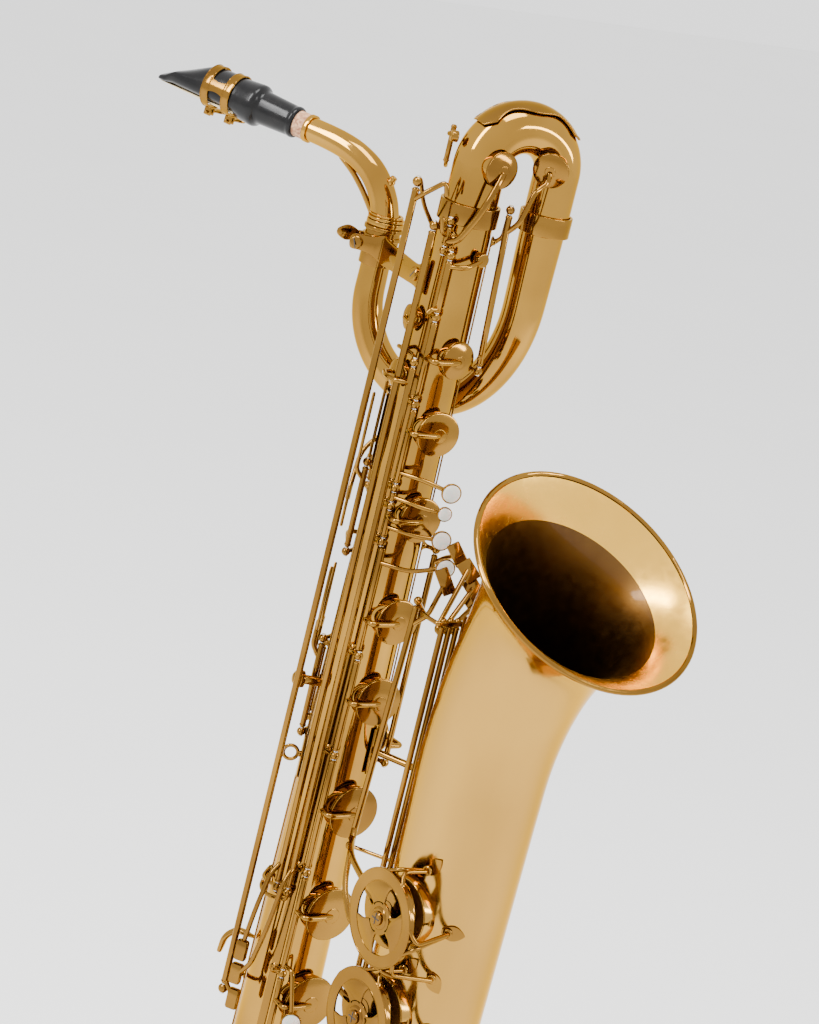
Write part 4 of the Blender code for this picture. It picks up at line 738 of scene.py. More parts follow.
# clamp screw with a leaf-shaped thumb head
ts = [sweep([scr_c - ns * 0.0115, scr_c + ns * 0.0075], 0.0015, 8),
      disc(scr_c - ns * 0.0125, ns, 0.0032, 0.0055, 10)]
leaf = [(-0.0018, 0), (-0.0052, 0.006), (-0.0058, 0.011), (-0.003, 0.0165), (0, 0.018), (0.003, 0.0165),
        (0.0058, 0.011), (0.0052, 0.006), (0.0018, 0)]
ts.append(plate(leaf, scr_c - ns * 0.0115, Vector((0, 0, 1)), -ns, 0.0024))
solid("neck_clamp_screw", ts, "lacquer", pivot=scr_c)

# ------------------------------------------------------------------ the neck
nd = Vector((NECK_DIR[0], NECK_DIR[1], 0)).normalized()
prof = [(0, 0), (2.2, 8), (5.4, 16.4), (12.1, 26.6), (21.7, 35.7), (34, 42.1), (47, 46.0), (62, 48.3), (81, 50)]
nctl = [rc + nd * (a / 1000) + Vector((0, 0, 0.981 + b / 1000)) for a, b in prof]
npth = [P3(rc, LOOP_TOP + 0.003)] + smooth_path(nctl, 14)
nrad = [0.0108] + [0.0108 - (0.0108 - 0.0092) * i / 13 for i in range(14)]
collar = disc(P3(rc, 0.9803), (0, 0, 1), 0.0140, 0.0035, 14)
end_n = (npth[-1] - npth[-2]).normalized()
endring = turn([(0, -0.0035), (0.0108, -0.0035), (0.0108, 0.0), (0, 0.0)], npth[-1], end_n, 14)
brace = sweep(smooth_path([npth[11] + Vector((0, 0, -0.0085)), npth[9] + Vector((0.001, 0, -0.0150)),
                           npth[6] + nd * 0.006 + Vector((0, 0, -0.0155)), npth[3] + nd * 0.0095 + Vector((0, 0, -0.006))], 5),
              0.0022, 6, 1.0)
fine = [P3(rc, LOOP_TOP + 0.003)] + smooth_path(nctl, 72)
frad = [0.0108] + [0.0108 - (0.0108 - 0.0092) * i / 71 for i in range(72)]
neck = pipe(fine, frad, 0.0009)
up7 = Vector((-nd.x * 0.45, -nd.y * 0.45, 0.9)).normalized()
pip = [turn([(0, 0.0085), (0.0034, 0.0085), (0.0034, 0.0125), (0.0026, 0.0135), (0.0026, 0.0160), (0.0010, 0.0160), (0, 0.0150)], npth[5], up7, 24)]
collar2 = [ring(P3(rc, 0.9803), (0, 0, 1), 0.0104, 0.0138, 0.0042, 0.0062), ring(P3(rc, 0.9803), (0, 0, 1), 0.0104, 0.0128, 0.0068, 0.0082)]
solid("neck", [neck, collar, collar2, endring, brace, pip], "lacquer")

# cork, mouthpiece, reed and ligature share the axis of the neck's end
ma = end_n
m0 = npth[-1] + ma * GAP
mu = (Vector((0, 0, 1)) - ma * ma.z).normalized()
ms = ma.cross(mu)
solid("neck_cork", [ring(m0, ma, 0.0078, 0.0100, 0.0, 0.0285, 14)], "cork")
ML0 = 0.0095                            # where the mouthpiece starts on the cork
mp_prof = [(0.0103, 0), (0.0120, 0), (0.0122, 0.0025), (0.0137, 0.032), (0.0151, 0.0355), (0.0153, 0.055),
           (0.0150, 0.080), (0.0128, 0.122), (0.0, 0.122), (0.0, 0.030), (0.0103, 0.022)]
mt = m0 + ma * ML0
TIPL = 0.122


def mp_loft():
    """Shank, barrel and beak as one lofted body: (x, half width, top, bottom)."""
    sec = [(0.0, 0.0112, 0.0112, 0.0112), (0.0005, 0.0117, 0.0117, 0.0117), (0.0014, 0.0121, 0.0121, 0.0121),
           (0.0028, 0.0122, 0.0122, 0.0122), (0.0036, 0.0119, 0.0119, 0.0119), (0.0044, 0.0117, 0.0117, 0.0117),
           (0.0060, 0.0118, 0.0118, 0.0118), (0.0300, 0.0128, 0.0128, 0.0128), (0.0320, 0.0131, 0.0131, 0.0131),
           (0.0330, 0.0141, 0.0141, 0.0141), (0.0342, 0.0155, 0.0155, 0.0155), (0.0356, 0.0162, 0.0162, 0.0162), (0.0380, 0.0163, 0.0163, 0.0162),
           (0.0440, 0.0158, 0.0158, 0.0156), (0.0500, 0.0153, 0.0153, 0.0150), (0.0520, 0.0152, 0.0152, 0.0107), (0.0650, 0.0152, 0.0152, 0.0106),
           (0.0780, 0.0150, 0.0150, 0.0106), (0.0830, 0.0148, 0.0137, 0.0106), (0.0900, 0.0145, 0.0102, 0.0106),
           (0.0990, 0.0140, 0.0056, 0.0106), (0.1080, 0.0134, 0.0012, 0.0106), (0.1150, 0.0129, -0.0024, 0.0107),
           (0.1190, 0.0124, -0.0046, 0.0107), (0.1208, 0.0116, -0.0058, 0.0106), (0.1217, 0.0104, -0.0072, 0.0104)]
    N = 72
    vs, fs = [], []
    for x, hw, top, bot in sec:
        c = (top - bot) / 2.0
        for k in range(N):
            t = 2 * math.pi * k / N
            y = math.cos(t) * hw
            zz = math.sin(t)
            flat = 0.55 if (zz < 0 and x > 0.050) else 1.0
            h = top * zz if zz >= 0 and top > 0 else (abs(zz) ** flat) * (-bot) if zz < 0 else 0.0
            if top <= 0:
                mid, half = (top - bot) / 2, (top + bot) / 2
                h = mid + half * (abs(zz) ** 0.6) * (1 if zz >= 0 else -1)
            vs.append(mt + ma * x + ms * y + mu * h)
    for i in range(len(sec) - 1):
        for k in range(N):
            k2 = (k + 1) % N
            fs.append((i * N + k, i * N + k2, (i + 1) * N + k2, (i + 1) * N + k))
    fs.append(tuple(range(N))[::-1])
    fs.append(tuple((len(sec) - 1) * N + k for k in range(N)))
    return Prim(vs, fs, "ebonite")


parts = [mp_loft()]
# near-black disc across the shank's opening: painted shade of the bore
parts.append(turn([(0, -0.0002), (0.0106, -0.0002), (0.0106, -0.0006), (0, -0.0006)], mt, ma, 32, "dark"))
solid("mouthpiece", parts, "ebonite")


def reed_loft():
    sec = [(0.0530, 0.0066, 0.0022), (0.0540, 0.0070, 0.0024), (0.0800, 0.0074, 0.0023), (0.0860, 0.0075, 0.0020),
           (0.1010, 0.0077, 0.0012), (0.1140, 0.0078, 0.0006), (0.1200, 0.0076, 0.0004), (0.1218, 0.0066, 0.0003)]
    N = 24
    vs, fs = [], []
    for x, hw, th in sec:
        row = [(-hw, 0.0)] + [(-hw * math.cos(math.pi * k / N), -th * (math.sin(math.pi * k / N) ** 0.45)) for k in range(1, N)] + [(hw, 0.0)]
        for y, h in row:
            vs.append(mt + ma * x + ms * y + mu * (-0.0109 + h))
    m = N + 1
    for i in range(len(sec) - 1):
        for k in range(m):
            k2 = (k + 1) % m
            fs.append((i * m + k, i * m + k2, (i + 1) * m + k2, (i + 1) * m + k))
    fs.append(tuple(range(m))[::-1])
    fs.append(tuple((len(sec) - 1) * m + k for k in range(m)))
    return Prim(vs, fs, "cane")


reed = reed_loft()
solid("reed", [reed], "cane")
LG0, LG1 = 0.0540, 0.0800
lring = []
for q0 in (LG0, LG1 - 0.007):
    lring += [ring(mt, ma, 0.0156, 0.0166, q0, q0 + 0.0070), torus(mt + ma * (q0 + 0.0006), ma, 0.0164, 0.0005),
              torus(mt + ma * (q0 + 0.0064), ma, 0.0164, 0.0005)]


def web(a0, a1, x0, x1, r0, r1):
    """Curved strap of the ligature between two angles round the mouthpiece."""
    vs, fs, NA, NX = [], [], 12, 10
    for sh in (0, 1):
        for i in range(NX + 1):
            x = x0 + (x1 - x0) * i / NX
            pinch = 1.0 - 0.34 * math.sin(math.pi * i / NX)
            for j in range(NA + 1):
                am, half = (a0 + a1) / 2, (a1 - a0) / 2 * pinch
                a = math.radians(am - half + 2 * half * j / NA)
                r = r0 if sh == 0 else r1
                vs.append(mt + ma * x + (ms * math.cos(a) + mu * math.sin(a)) * r)
    o, w = (NX + 1) * (NA + 1), NA + 1
    for i in range(NX):
        for j in range(NA):
            q = i * w + j
            fs += [(q, q + 1, q + w + 1, q + w), (o + q, o + q + w, o + q + w + 1, o + q + 1)]
        for j in (0, NA):
            q = i * w + j
            fs.append((q, q + w, o + q + w, o + q))
    for j in range(NA):
        for i in (0, NX):
            q = i * w + j
            fs.append((q, q + 1, o + q + 1, o + q))
    return Prim(vs, fs)


lring += [web(-8, 34, LG0 + 0.005, LG1 - 0.005, 0.0157, 0.0166), web(146, 188, LG0 + 0.005, LG1 - 0.005, 0.0157, 0.0166)]
for q in (LG0 + 0.0035, LG1 - 0.0035):
    for sx in (-1, 1):
        lring.append(bar(mt + ma * q - mu * 0.0160 + ms * sx * 0.0020, mt + ma * q - mu * 0.0225 + ms * sx * 0.0020, 0.0062, 0.0018, ms))
solid("ligature", lring, "lacquer")
for i, q in enumerate((LG0 + 0.0035, LG1 - 0.0035)):
    c = mt + ma * q - mu * 0.0202
    scw = [sweep([c - ms * 0.0055, c + ms * 0.0105], 0.0013, 8),
           plate([(-0.0015, 0), (-0.0048, 0.004), (-0.0050, 0.0075), (-0.0022, 0.0115), (0.0022, 0.0115),
                  (0.0050, 0.0075), (0.0048, 0.004), (0.0015, 0)], c + ms * 0.0085, ma, ms, 0.0022)]
    solid("ligature_screw_%d" % (i + 1), scw, "lacquer", pivot=c)

# ----------------------------------------------------------- keys and posts
JOINTS = []          # name, pivot, axis, range in degrees, spring or friction


def key_cup(c, n, rc, h, spine=True):
    """Domed key cup with a rolled lip, a raised boss and a leather pad."""
    c, n = Vector(c), Vector(n).normalized()
    prof = [(rc * 0.90, 0.0006), (rc * 0.985, 0.0004), (rc, 0.0009), (rc, h * 0.52), (rc * 0.985, h * 0.60), (rc * 0.955, h * 0.64)]
    for i in range(1, 9):
        f = i / 8
        prof.append((rc * (0.955 - 0.655 * f), h * (0.64 + 0.36 * math.sin(f * math.pi / 2) ** 0.9)))
    prof += [(rc * 0.28, h + 0.0003), (0, h + 0.0005)]
    prof = [(0, 0.0006)] + prof
    out = [turn(prof, c, n, 48, rad=0.00015), torus(c + n * (h * 0.20), n, rc - 0.00005, 0.00028),
           turn([(0, 0.0000), (rc * 0.88, 0.0000), (rc * 0.90, 0.0008), (0, 0.0012)], c - n * 0.0001, n, 48, "pad")]
    return out


def pearl_dish(c, n, r):
    """Mother-of-pearl touch in its brass dish."""
    c, n = Vector(c), Vector(n).normalized()
    dish = turn([(0, -0.0006), (r * 0.72, -0.0004), (r * 1.0, 0.0010), (r * 1.02, 0.0026), (r * 0.93, 0.0031), (r * 0.86, 0.0026), (0, 0.0020)], c, n, 40, rad=0.0002)
    prof = [(0, 0.0012), (r * 0.87, 0.0012), (r * 0.87, 0.0028)]
    prof += [(r * 0.87 * math.cos(math.radians(a)), 0.0028 + 0.0009 * math.sin(math.radians(a))) for a in (15, 30, 45, 60, 75)] + [(0, 0.0037)]
    return [dish, turn(prof, c, n, 40, "pearl", rad=0.0001)]


class Key:
    """One hinged key: rod between two posts, arms, cups and touches."""

    def __init__(self, name, p0, p1, rr=0.0024):
        self.name, self.p0, self.p1 = name, Vector(p0), Vector(p1)
        self.rod_r = rr
        self.ax = (self.p1 - self.p0).normalized()
        L = (self.p1 - self.p0).length
        self.prims = [sweep([self.p0, self.p1], rr, 6)]
        for e, sg in ((self.p0, 1), (self.p1, -1)):
            self.prims.append(ring(e + self.ax * sg * 0.0012, self.ax * sg, rr * 0.8, rr + 0.00035, 0.0, 0.0009))

    def on_rod(self, z):
        t = (z - self.p0.z) / (self.p1.z - self.p0.z)
        return self.p0 + (self.p1 - self.p0) * t

    def cup(self, ph, z, rc, R, cx=0.0, zr=None, raise_=0.0, arm=0.0022, via=None):
        zr = z if zr is None else zr
        c = P(ph, R + CHIM + GAP, z, cx)
        n = D(ph)
        self.prims += key_cup(c, n, rc, CUP_H)
        a = self.on_rod(zr)
        b = c + n * (CUP_H + 0.0002)
        off = a - Vector((cx, 0, a.z))
        lift = max(R + CHIM + CUP_H + 0.0032 - off.dot(n), 0.0)
        side = (off - n * off.dot(n)).normalized()
        m = via[-1] if via else a + n * lift + side * min(lift * 0.1, 0.0012)
        pts = [a] + (list(via) if via else [m]) + [b + (m - b).normalized() * rc * 0.5 + n * 0.0010, b]
        self.prims.append(sweep(pts, [arm * 1.15] + [arm] * (len(pts) - 2) + [arm * 0.8], 5))
        return self

    def arm(self, pts, r=0.0018, n=5):
        self.prims.append(sweep(pts, r, n))
        return self

    def pearl(self, zr, c, n, r, via=None):
        a = self.on_rod(zr)
        c, n = Vector(c), Vector(n).normalized()
        self.prims += pearl_dish(c, n, r)
        pts = [a] + ([via] if via is not None else []) + [c + n * 0.0012]
        self.prims.append(sweep(pts, 0.0017, 5))
        return self

    def add(self, prim):
        self.prims.append(prim)
        return self

    def done(self, sense, rng, spring=True, rest_open=0.0, mat="lacquer"):
        """sense +1 when a turn about +axis lifts the cup."""
        axis = self.ax * sense
        mid = (self.p0 + self.p1) / 2
        if rest_open:
            M = Matrix.Translation(mid) @ Matrix.Rotation(math.radians(rest_open), 4, axis) @ Matrix.Translation(-mid)
            self.prims = flatten(self.prims)
            for p in self.prims:
                p.move(M)
        ob = solid(self.name, self.prims, mat, pivot=mid)
        JOINTS.append((self.name, mid, axis, rng, spring))
        return ob


def U(z):
    """Axis of the upper stack's rods."""
    return K(-5, 31, z)


def L(z):
    """Axis of the lower stack's rods."""
    return K(-2, 35, z)


def opening(key, r_lift, lift):
    return math.degrees(math.atan2(lift, r_lift))


hole = {h[0]: h for h in HOLES}


def body_cup(key, nm, zr=None, **kw):
    _, ph, z, r = hole[nm]
    return key.cup(ph, z, r, body_r(z), zr=zr, **kw)


E = 0.0034 + 0.0003          # a rod stops this far from the post's ball centre
PEARL_N = K(0.45, 1, 0) * 1000

# upper stack
k = Key("octave_key", U(0.990 - E), U(0.944 + E))
k.arm([U(0.982), K(8, 33, 0.984), P(-3, 0.0262, 0.9897)], 0.0018)
k.add(disc(P(-3, body_r(0.9897) + 0.0022, 0.9897), D(-3), 0.0052, 0.0060, 10))
k.arm([U(0.950), K(-9, 34.5, 0.950), K(-12, 36, 0.946)], 0.0018)
k.done(1, [0, 9])
for nm, cup_, z0, z1, pearl, lift in (
        ("high_D_key", "c1", 0.944, 0.878, None, 0.0),
        ("key_B", "c2", 0.878, 0.814, (0.826, (35.6, 34, 0.8221), 0.0075), 0.0034),
        ("key_A", "c3", 0.800, 0.772, (0.784, (36.7, 34, 0.7859), 0.0075), 0.0034)):
    k = Key(nm, U(z0 - E), U(z1 + E))
    body_cup(k, cup_, zr=min(z0 - E - 0.004, hole[cup_][2]))
    if pearl:
        c = K(*pearl[1])
        k.pearl(pearl[0], c, PEARL_N, pearl[2], via=K(18, 36.5, pearl[0]))
    if lift:
        k.done(1, [-6, 0], rest_open=6)
    else:
        k.arm([U(z1 + E + 0.003), K(-4, 37, z1 + E + 0.003)], 0.0018)
        k.done(1, [0, 8])
k = Key("bis_key", U(0.814 - E), U(0.800 + E))
k.pearl(0.807, K(34.3, 33, 0.8055), PEARL_N, 0.0056, via=K(18, 36.5, 0.806))
k.done(1, [-6, 0], rest_open=6)
k = Key("key_G", K(-3.5, 33, 0.772 - E), K(-3.5, 33, 0.684 + E))
body_cup(k, "c4")
k.pearl(0.757, K(43.9, 34, 0.7660), PEARL_N, 0.0075, via=K(20, 38, 0.757))
k.done(1, [-5, 0], rest_open=5)

# lower stack
for nm, cup_, z0, z1, pearl in (
        ("key_F_sharp", "c5", 0.684, 0.604, None),
        ("key_F_vent", "c6", 0.604, 0.508, None),
        ("key_F", "c7", 0.508, 0.424, (0.431, (14.3, 47, 0.3930))),
        ("key_E", "c8", 0.424, 0.350, (0.357, (15.0, 47, 0.3560))),
        ("key_D", "c9", 0.350, 0.282, (0.300, (15.5, 47, 0.2950)))):
    k = Key(nm, L(z0 - E), L(z1 + E))
    body_cup(k, cup_)
    if pearl:
        k.pearl(pearl[0], K(*pearl[1]), K(0.15, 1, 0) * 1000, 0.0078, via=K(6, 43, pearl[0]))
    k.done(1, [-5, 0], rest_open=5)

# low E flat, sprung shut, and low C, both on rods of their own
k = Key("key_E_flat", K(-43, 16.5, 0.328), K(-43, 16.5, 0.238))
_, ph, z, r = hole["c10"]
R = body_r(z)
c = P(ph, R + CHIM + GAP, z)
k.add(key_cup(c, D(ph), r, CUP_H))
k.add(sweep([K(-43, 16.5, z), P(ph + 14, R + 0.0125, z), c + D(ph) * 0.0052], 0.0022, 5))
k.arm([K(-43, 16.5, 0.322), K(-37.5, 31, 0.322)], 0.0019)
k.add(bar(K(-35, 33, 0.334), K(-35, 33, 0.310), 0.013, 0.0030, K(-0.4, 1, 0)))
k.done(1, [0, 7])
k = Key("low_C_key", K(-3, 38.5, 0.2345), K(-3, 38.5, 0.1975))
k.cup(-5, 0.215, 0.0240, body_r(0.215), arm=0.0024)
k.arm([K(-3, 38.5, 0.226), K(0, 45, 0.234), K(1, 47.5, 0.256)], 0.0019)
k.add(bar(K(1.5, 47.5, 0.272), K(1.5, 47.5, 0.250), 0.012, 0.0030, K(0, 1, 0)))
k.done(1, [-5, 0], rest_open=5)

# right-hand side keys: long rods with block-shaped touches low on the body
SIDE_Z = (0.4347, 0.4152, 0.3952)


def side_touch(u, v, z):
    return bar(K(u, v, z + 0.0085), K(u, v, z - 0.0085), 0.0095, 0.0068, K(-0.3, 1, 0))


k = Key("side_C_key", K(-21.5, 27, 1.004), K(-21.5, 27, 0.492), 0.0028)
k.cup(106, 0.935, 0.0095, body_r(0.935), arm=0.0018)
k.arm([K(-21.5, 27, 0.509), K(-28, 32.5, 0.500), K(-33, 36, 0.470), K(-36, 35, 0.4400)], 0.0019)
k.add(side_touch(-36, 35, SIDE_Z[0]))
k.done(-1, [0, 8])
k = Key("side_B_flat_key", K(-12.5, 33, 0.905), K(-12.5, 33, 0.492), 0.0024)
k.cup(106, 0.893, 0.0100, body_r(0.893), arm=0.0018,
      via=[K(-21, 35.0, 0.893), K(-30.5, 27.5, 0.893), K(-32, 16, 0.893)])
k.arm([K(-12.5, 33, 0.509), K(-17, 41, 0.498), K(-21, 42, 0.460), K(-27, 41, 0.428), K(-35, 36, 0.4152)], 0.0019)
k.add(side_touch(-36, 35, SIDE_Z[1]))
k.done(-1, [0, 8])
k = Key("high_E_long_rod", K(-40, 26, 1.0313), K(-43.2, 30, 0.4030), 0.0026)
k.arm([K(-40, 26, 1.022), K(-33, 32, 1.030), K(-20, 27.5, 1.0405), K(-17.5, 27, 1.030)], 0.0019)
k.arm([K(-43.2, 30, 0.4058), K(-36, 35.5, 0.398)], 0.0019)
k.add(side_touch(-34, 36.5, SIDE_Z[2]))
k.done(1, [0, 6])
k = Key("high_E_key", K(-11, 25, 1.0090), K(-11, 25, 0.9952), 0.0024)
c = P(-1, 0.0193 + CHIM2 + GAP, 1.056)
k.add(key_cup(c, D(-1), 0.0135, 0.0044))
k.arm([K(-11, 25, 0.998), K(-3, 30, 1.001), K(7, 30, 1.020), K(14, 28.5, 1.040), P(-1, 0.0282, 1.055)], 0.0024)
k.arm([K(-11, 25, 1.002), K(-15, 29.0, 1.005), K(-17, 31, 1.016)], 0.0018)
k.done(1, [0, 7])
k = Key("crook_vent_key", K(29, 8, 1.0240), K(33.5, 8, 0.9113), 0.0024)
VD = VN
c = VC + VD * (0.0174 + CHIM2 + GAP)
k.add(key_cup(c, VD, 0.0132, 0.0044))
k.arm([K(29.6, 8, 1.011), K(37, 11, 1.020), K(43, 8, 1.045), c + VD * 0.0052 + Vector((0, 0, -0.008)), c + VD * 0.0050], 0.0020)
k.arm([K(33.3, 8, 0.918), K(31.8, 11.6, 0.918)], 0.0017)
k.done(1, [0, 6])

# palm keys and thumb levers, on the player's side of the body
for nm, (u, v), z0, z1, cup_, (lu, lv), lz0, lz1 in (
        ("palm_D_key", (-29.5, -3), 0.815, 0.752, "s3", (-36.0, -1), 0.815, 0.872),
        ("palm_E_flat_key", (-25, -23), 0.868, 0.800, "s2", (-29, -19), 0.815, 0.878),
        ("palm_F_key", (-15, -31), 0.905, 0.838, "s1", (-37.5, -11), 0.765, 0.800)):
    k = Key(nm, K(u, v, z0), K(u, v, z1), 0.0023)
    _, ph, z, r = hole[cup_]
    zr = min(max(z, z1 + 0.003), z0 - 0.003)
    k.cup(ph, z, r, body_r(z), zr=zr, arm=0.0018)
    n = K(-1, 0.05, 0).normalized()
    zm = min(max(lz0, z1 + 0.004), z0 - 0.004)
    if nm == "palm_F_key":
        k.arm([K(u, v, 0.843), K(-36, -28, 0.822), K(lu, lv, 0.795), K(lu, lv, 0.785)], 0.0018)
    else:
        k.arm([K(u, v, zm - 0.006), K(lu, lv, lz0 - 0.003 if nm == 'palm_D_key' else zm), K(lu, lv, max(lz0 + 0.006, zm))], 0.0018)
    w, L2 = 0.0062, (lz1 - lz0)
    outline = [(-w * 0.45, 0), (-w, L2 * 0.3), (-w * 0.9, L2 * 0.62), (0, L2), (w * 0.9, L2 * 0.62), (w, L2 * 0.3), (w * 0.45, 0)]
    k.add(plate(outline, K(lu, lv, lz0), K(0, 1, 0), Vector((0, 0, 1)), 0.0024))
    k.done(-1, [0, 8])
k = Key("octave_lever", K(-31.0, -1, 0.675), K(-31.0, -1, 0.607), 0.0023)
k.arm([K(-31.0, -1, 0.664), K(-37.5, -1, 0.672), K(-37.2, -1, 0.692)], 0.0018)
k.add(plate([(-0.003, 0), (-0.0060, 0.015), (-0.0052, 0.033), (0, 0.050), (0.0052, 0.033), (0.0060, 0.015), (0.003, 0)],
            K(-37, -1, 0.685), K(0, 1, 0), Vector((0, 0, 1)), 0.0024))
k.done(-1, [0, 8])
k = Key("low_A_lever", K(-29.5, -16, 0.668), K(-29.5, -16, 0.615), 0.0023)
k.arm([K(-29.5, -16, 0.656), K(-35.8, -15, 0.664), K(-35.0, -14, 0.692)], 0.0018)
k.add(plate([(-0.003, 0), (-0.0062, 0.015), (-0.0055, 0.033), (0, 0.050), (0.0055, 0.033), (0.0062, 0.015), (0.003, 0)],
            K(-35.0, -14, 0.685), K(0, 1, 0), Vector((0, 0, 1)), 0.0024))
k.done(-1, [0, 8])

# G sharp: closed cup on the player's left, touch on the little-finger table
k = Key("G_sharp_key", K(35.0, 4, 0.7640), K(35.5, 4, 0.6000), 0.0023)
k.cup(270, 0.610, 0.0150, body_r(0.610), arm=0.0020)
k.arm([K(35.0, 4, 0.757), K(43, 6, 0.764), K(50, 22, 0.772), K(51, 50.5, 0.7820)], 0.0019)
k.add(bar(K(45, 51.5, 0.789), K(56, 51.5, 0.775), 0.010, 0.0028, K(0, 1, 0.0003)))
k.done(1, [0, 6])

# bell keys: rods between body and bell, spread 6.5 mm apart
def brod(i, z):
    return Vector((0.1090, -0.0085 - 0.0065 * i, z))


TABLE = (("low_C_sharp_key", 0, 0.745, 0.240, "Cs"), ("low_A_key", 1, 0.745, 0.310, "A"),
         ("low_B_flat_key", 2, 0.745, 0.440, "Bb"))
bh = {h[0]: h for h in BELL_HOLES}
for nm, i, z0, z1, hn in TABLE:
    k = Key(nm, brod(i, z0 - E), brod(i, z1 + E), 0.0022)
    _, ph, z, r = bh[hn]
    R = bell_tube_r(z)
    c = P(ph, R + CHIM + GAP, z, BELL_X)
    n = D(ph)
    rc2 = r + 0.0015
    k.add(key_cup(c, n, rc2, CUP_H * 1.08))
    a = k.on_rod(z)
    if hn != "Cs":
        k.add(sweep([a, P(144, R + 0.0200, z, BELL_X), P(124, R + 0.0190, z, BELL_X), P(104, R + 0.0142, z, BELL_X), c + n * 0.0047], 0.0024, 6))
    else:
        k.add(sweep([a, a + Vector((-0.004, 0.0, 0)), P(190, R + 0.020, z, BELL_X), c + n * 0.0048], 0.0024, 5))
    j = 2 - i
    tz = 0.776 - 0.013 * j
    t0 = K(57 + 7.0 * j, 62 - 2 * j, tz)
    k.add(bar(t0 + Vector((-0.004, -0.0035, 0.005)), t0 + Vector((0.005, 0.0042, -0.006)), 0.0115, 0.0024, K(0, 1, 0.0003)))
    k.add(sweep([brod(i, z0 - E - 0.006), brod(i, z0 - E - 0.0050) + Vector((-0.007, 0, 0)), t0], 0.0019, 5))
    if hn == "Cs":
        k.done(-1, [0, 5])
    else:
        k.done(1, [-5, 0], rest_open=5)

# low B: its own rod crosses in front, with a forked arm to the cup
k = Key("low_B_key", K(30.5, 60, 0.7400), K(24.8, 60, 0.5510), 0.0024)
_, ph, z, r = bh["B"]
R = bell_tube_r(z)
c = P(ph, R + CHIM + GAP, z, BELL_X)
n = D(ph)
rc2 = r + 0.0015
k.add(key_cup(c, n, rc2, CUP_H * 1.08))
a = k.on_rod(0.556)
k.add(sweep([a, P(150, R + 0.036, 0.556, BELL_X), P(118, R + 0.0130, 0.552, BELL_X), P(98, R + 0.0112, z, BELL_X), c + n * 0.0048], 0.0024, 5))
k.add(sweep([k.on_rod(0.562), P(152, R + 0.036, 0.530, BELL_X), P(134, R + 0.018, 0.515, BELL_X), P(116, R + 0.0115, 0.524, BELL_X), P(100, R + 0.0100, 0.533, BELL_X)], 0.0022, 5))
k.add(sweep([k.on_rod(0.725), K(40, 62, 0.735), K(46, 62, 0.760)], 0.0019, 5))
k.add(bar(K(41, 62, 0.772), K(52, 62, 0.755), 0.010, 0.0024, K(0, 1, 0.0003)))
k.done(1, [-3, 0], rest_open=3)

# ------------------------------------------------- posts, ribs and fittings
def post(p, rb, rib_phi, zf, bends=()):
    """Post: ball head on a turned stem with a round foot, pivot screw in the ball."""
    p = Vector(p)
    n = D(rib_phi)
    foot = P(rib_phi, body_r(zf) + GAP + 0.0005, zf)
    top = foot + n * 0.0026
    nxt = Vector(bends[-1]) if bends else p
    path = [p] + [Vector(q) for q in bends] + [top]
    out = [turn([(0, 0.0002), (0.0042, 0.0002), (0.0042, 0.0010), (0.0028, 0.0020), (0.0020, 0.0036), (0, 0.0040)], foot, n, 24),
           sweep(path, [0.0014] + [0.0016] * (len(path) - 2) + [0.0018], 5), ball(p, rb)]
    d = (path[1] - path[0]).normalized()
    out.append(turn([(0, rb * 0.72), (0.0019, rb * 0.80), (0.0021, rb * 0.80 + 0.0008), (0.0015, rb + 0.0010), (0, rb + 0.0010)], p, d, 20))
    out += pivot_screw(p, rb)
    return out


def pivot_screw(p, rb):
    """End of the pivot rod showing at the ball, above and below."""
    out = []
    for sg in (1, -1):
        w = Vector((0, 0, sg))
        out.append(turn([(0, rb * 0.80), (0.0017, rb * 0.80), (0.0017, rb + 0.0001), (0.0014, rb + 0.0003), (0, rb + 0.0003)], p, w, 20, "steel"))
    return out


def rib(phi, z0, z1, w, phi1=None):
    p0, p1 = P(phi, body_r(z0) + GAP + 0.0009, z0), P(phi if phi1 is None else phi1, body_r(z1) + GAP + 0.0009, z1)
    return bar(p0, p1, w, 0.0012, D(phi if phi1 is None else (phi + phi1) / 2))


def posts(name, rib_phi, z0, z1, heads, w=0.006, extra=()):
    """Rib along the body with posts: heads are (centre, radius[, bends])."""
    prims = [rib(rib_phi, z0, z1, w)]
    for h in heads:
        prims += post(h[0], h[1], rib_phi, min(max(h[0].z, z0 + 0.0030), z1 - 0.0030), h[2] if len(h) > 2 else ())
    solid(name, prims + list(extra), "lacquer")


def around(phi, z, h=0.0065):
    return P(phi, body_r(z) + h, z)


posts("upper_stack_posts", 60, 0.766, 1.0040,
      [(U(z), 0.0034) for z in (0.990, 0.944, 0.878, 0.814, 0.800, 0.772)]
      + [(K(-11, 25, 1.0130), 0.0032, [P(76, 0.0250, 1.0120), P(76, 0.0242, 1.0040)]), (K(-11, 25, 0.9914), 0.0032)])
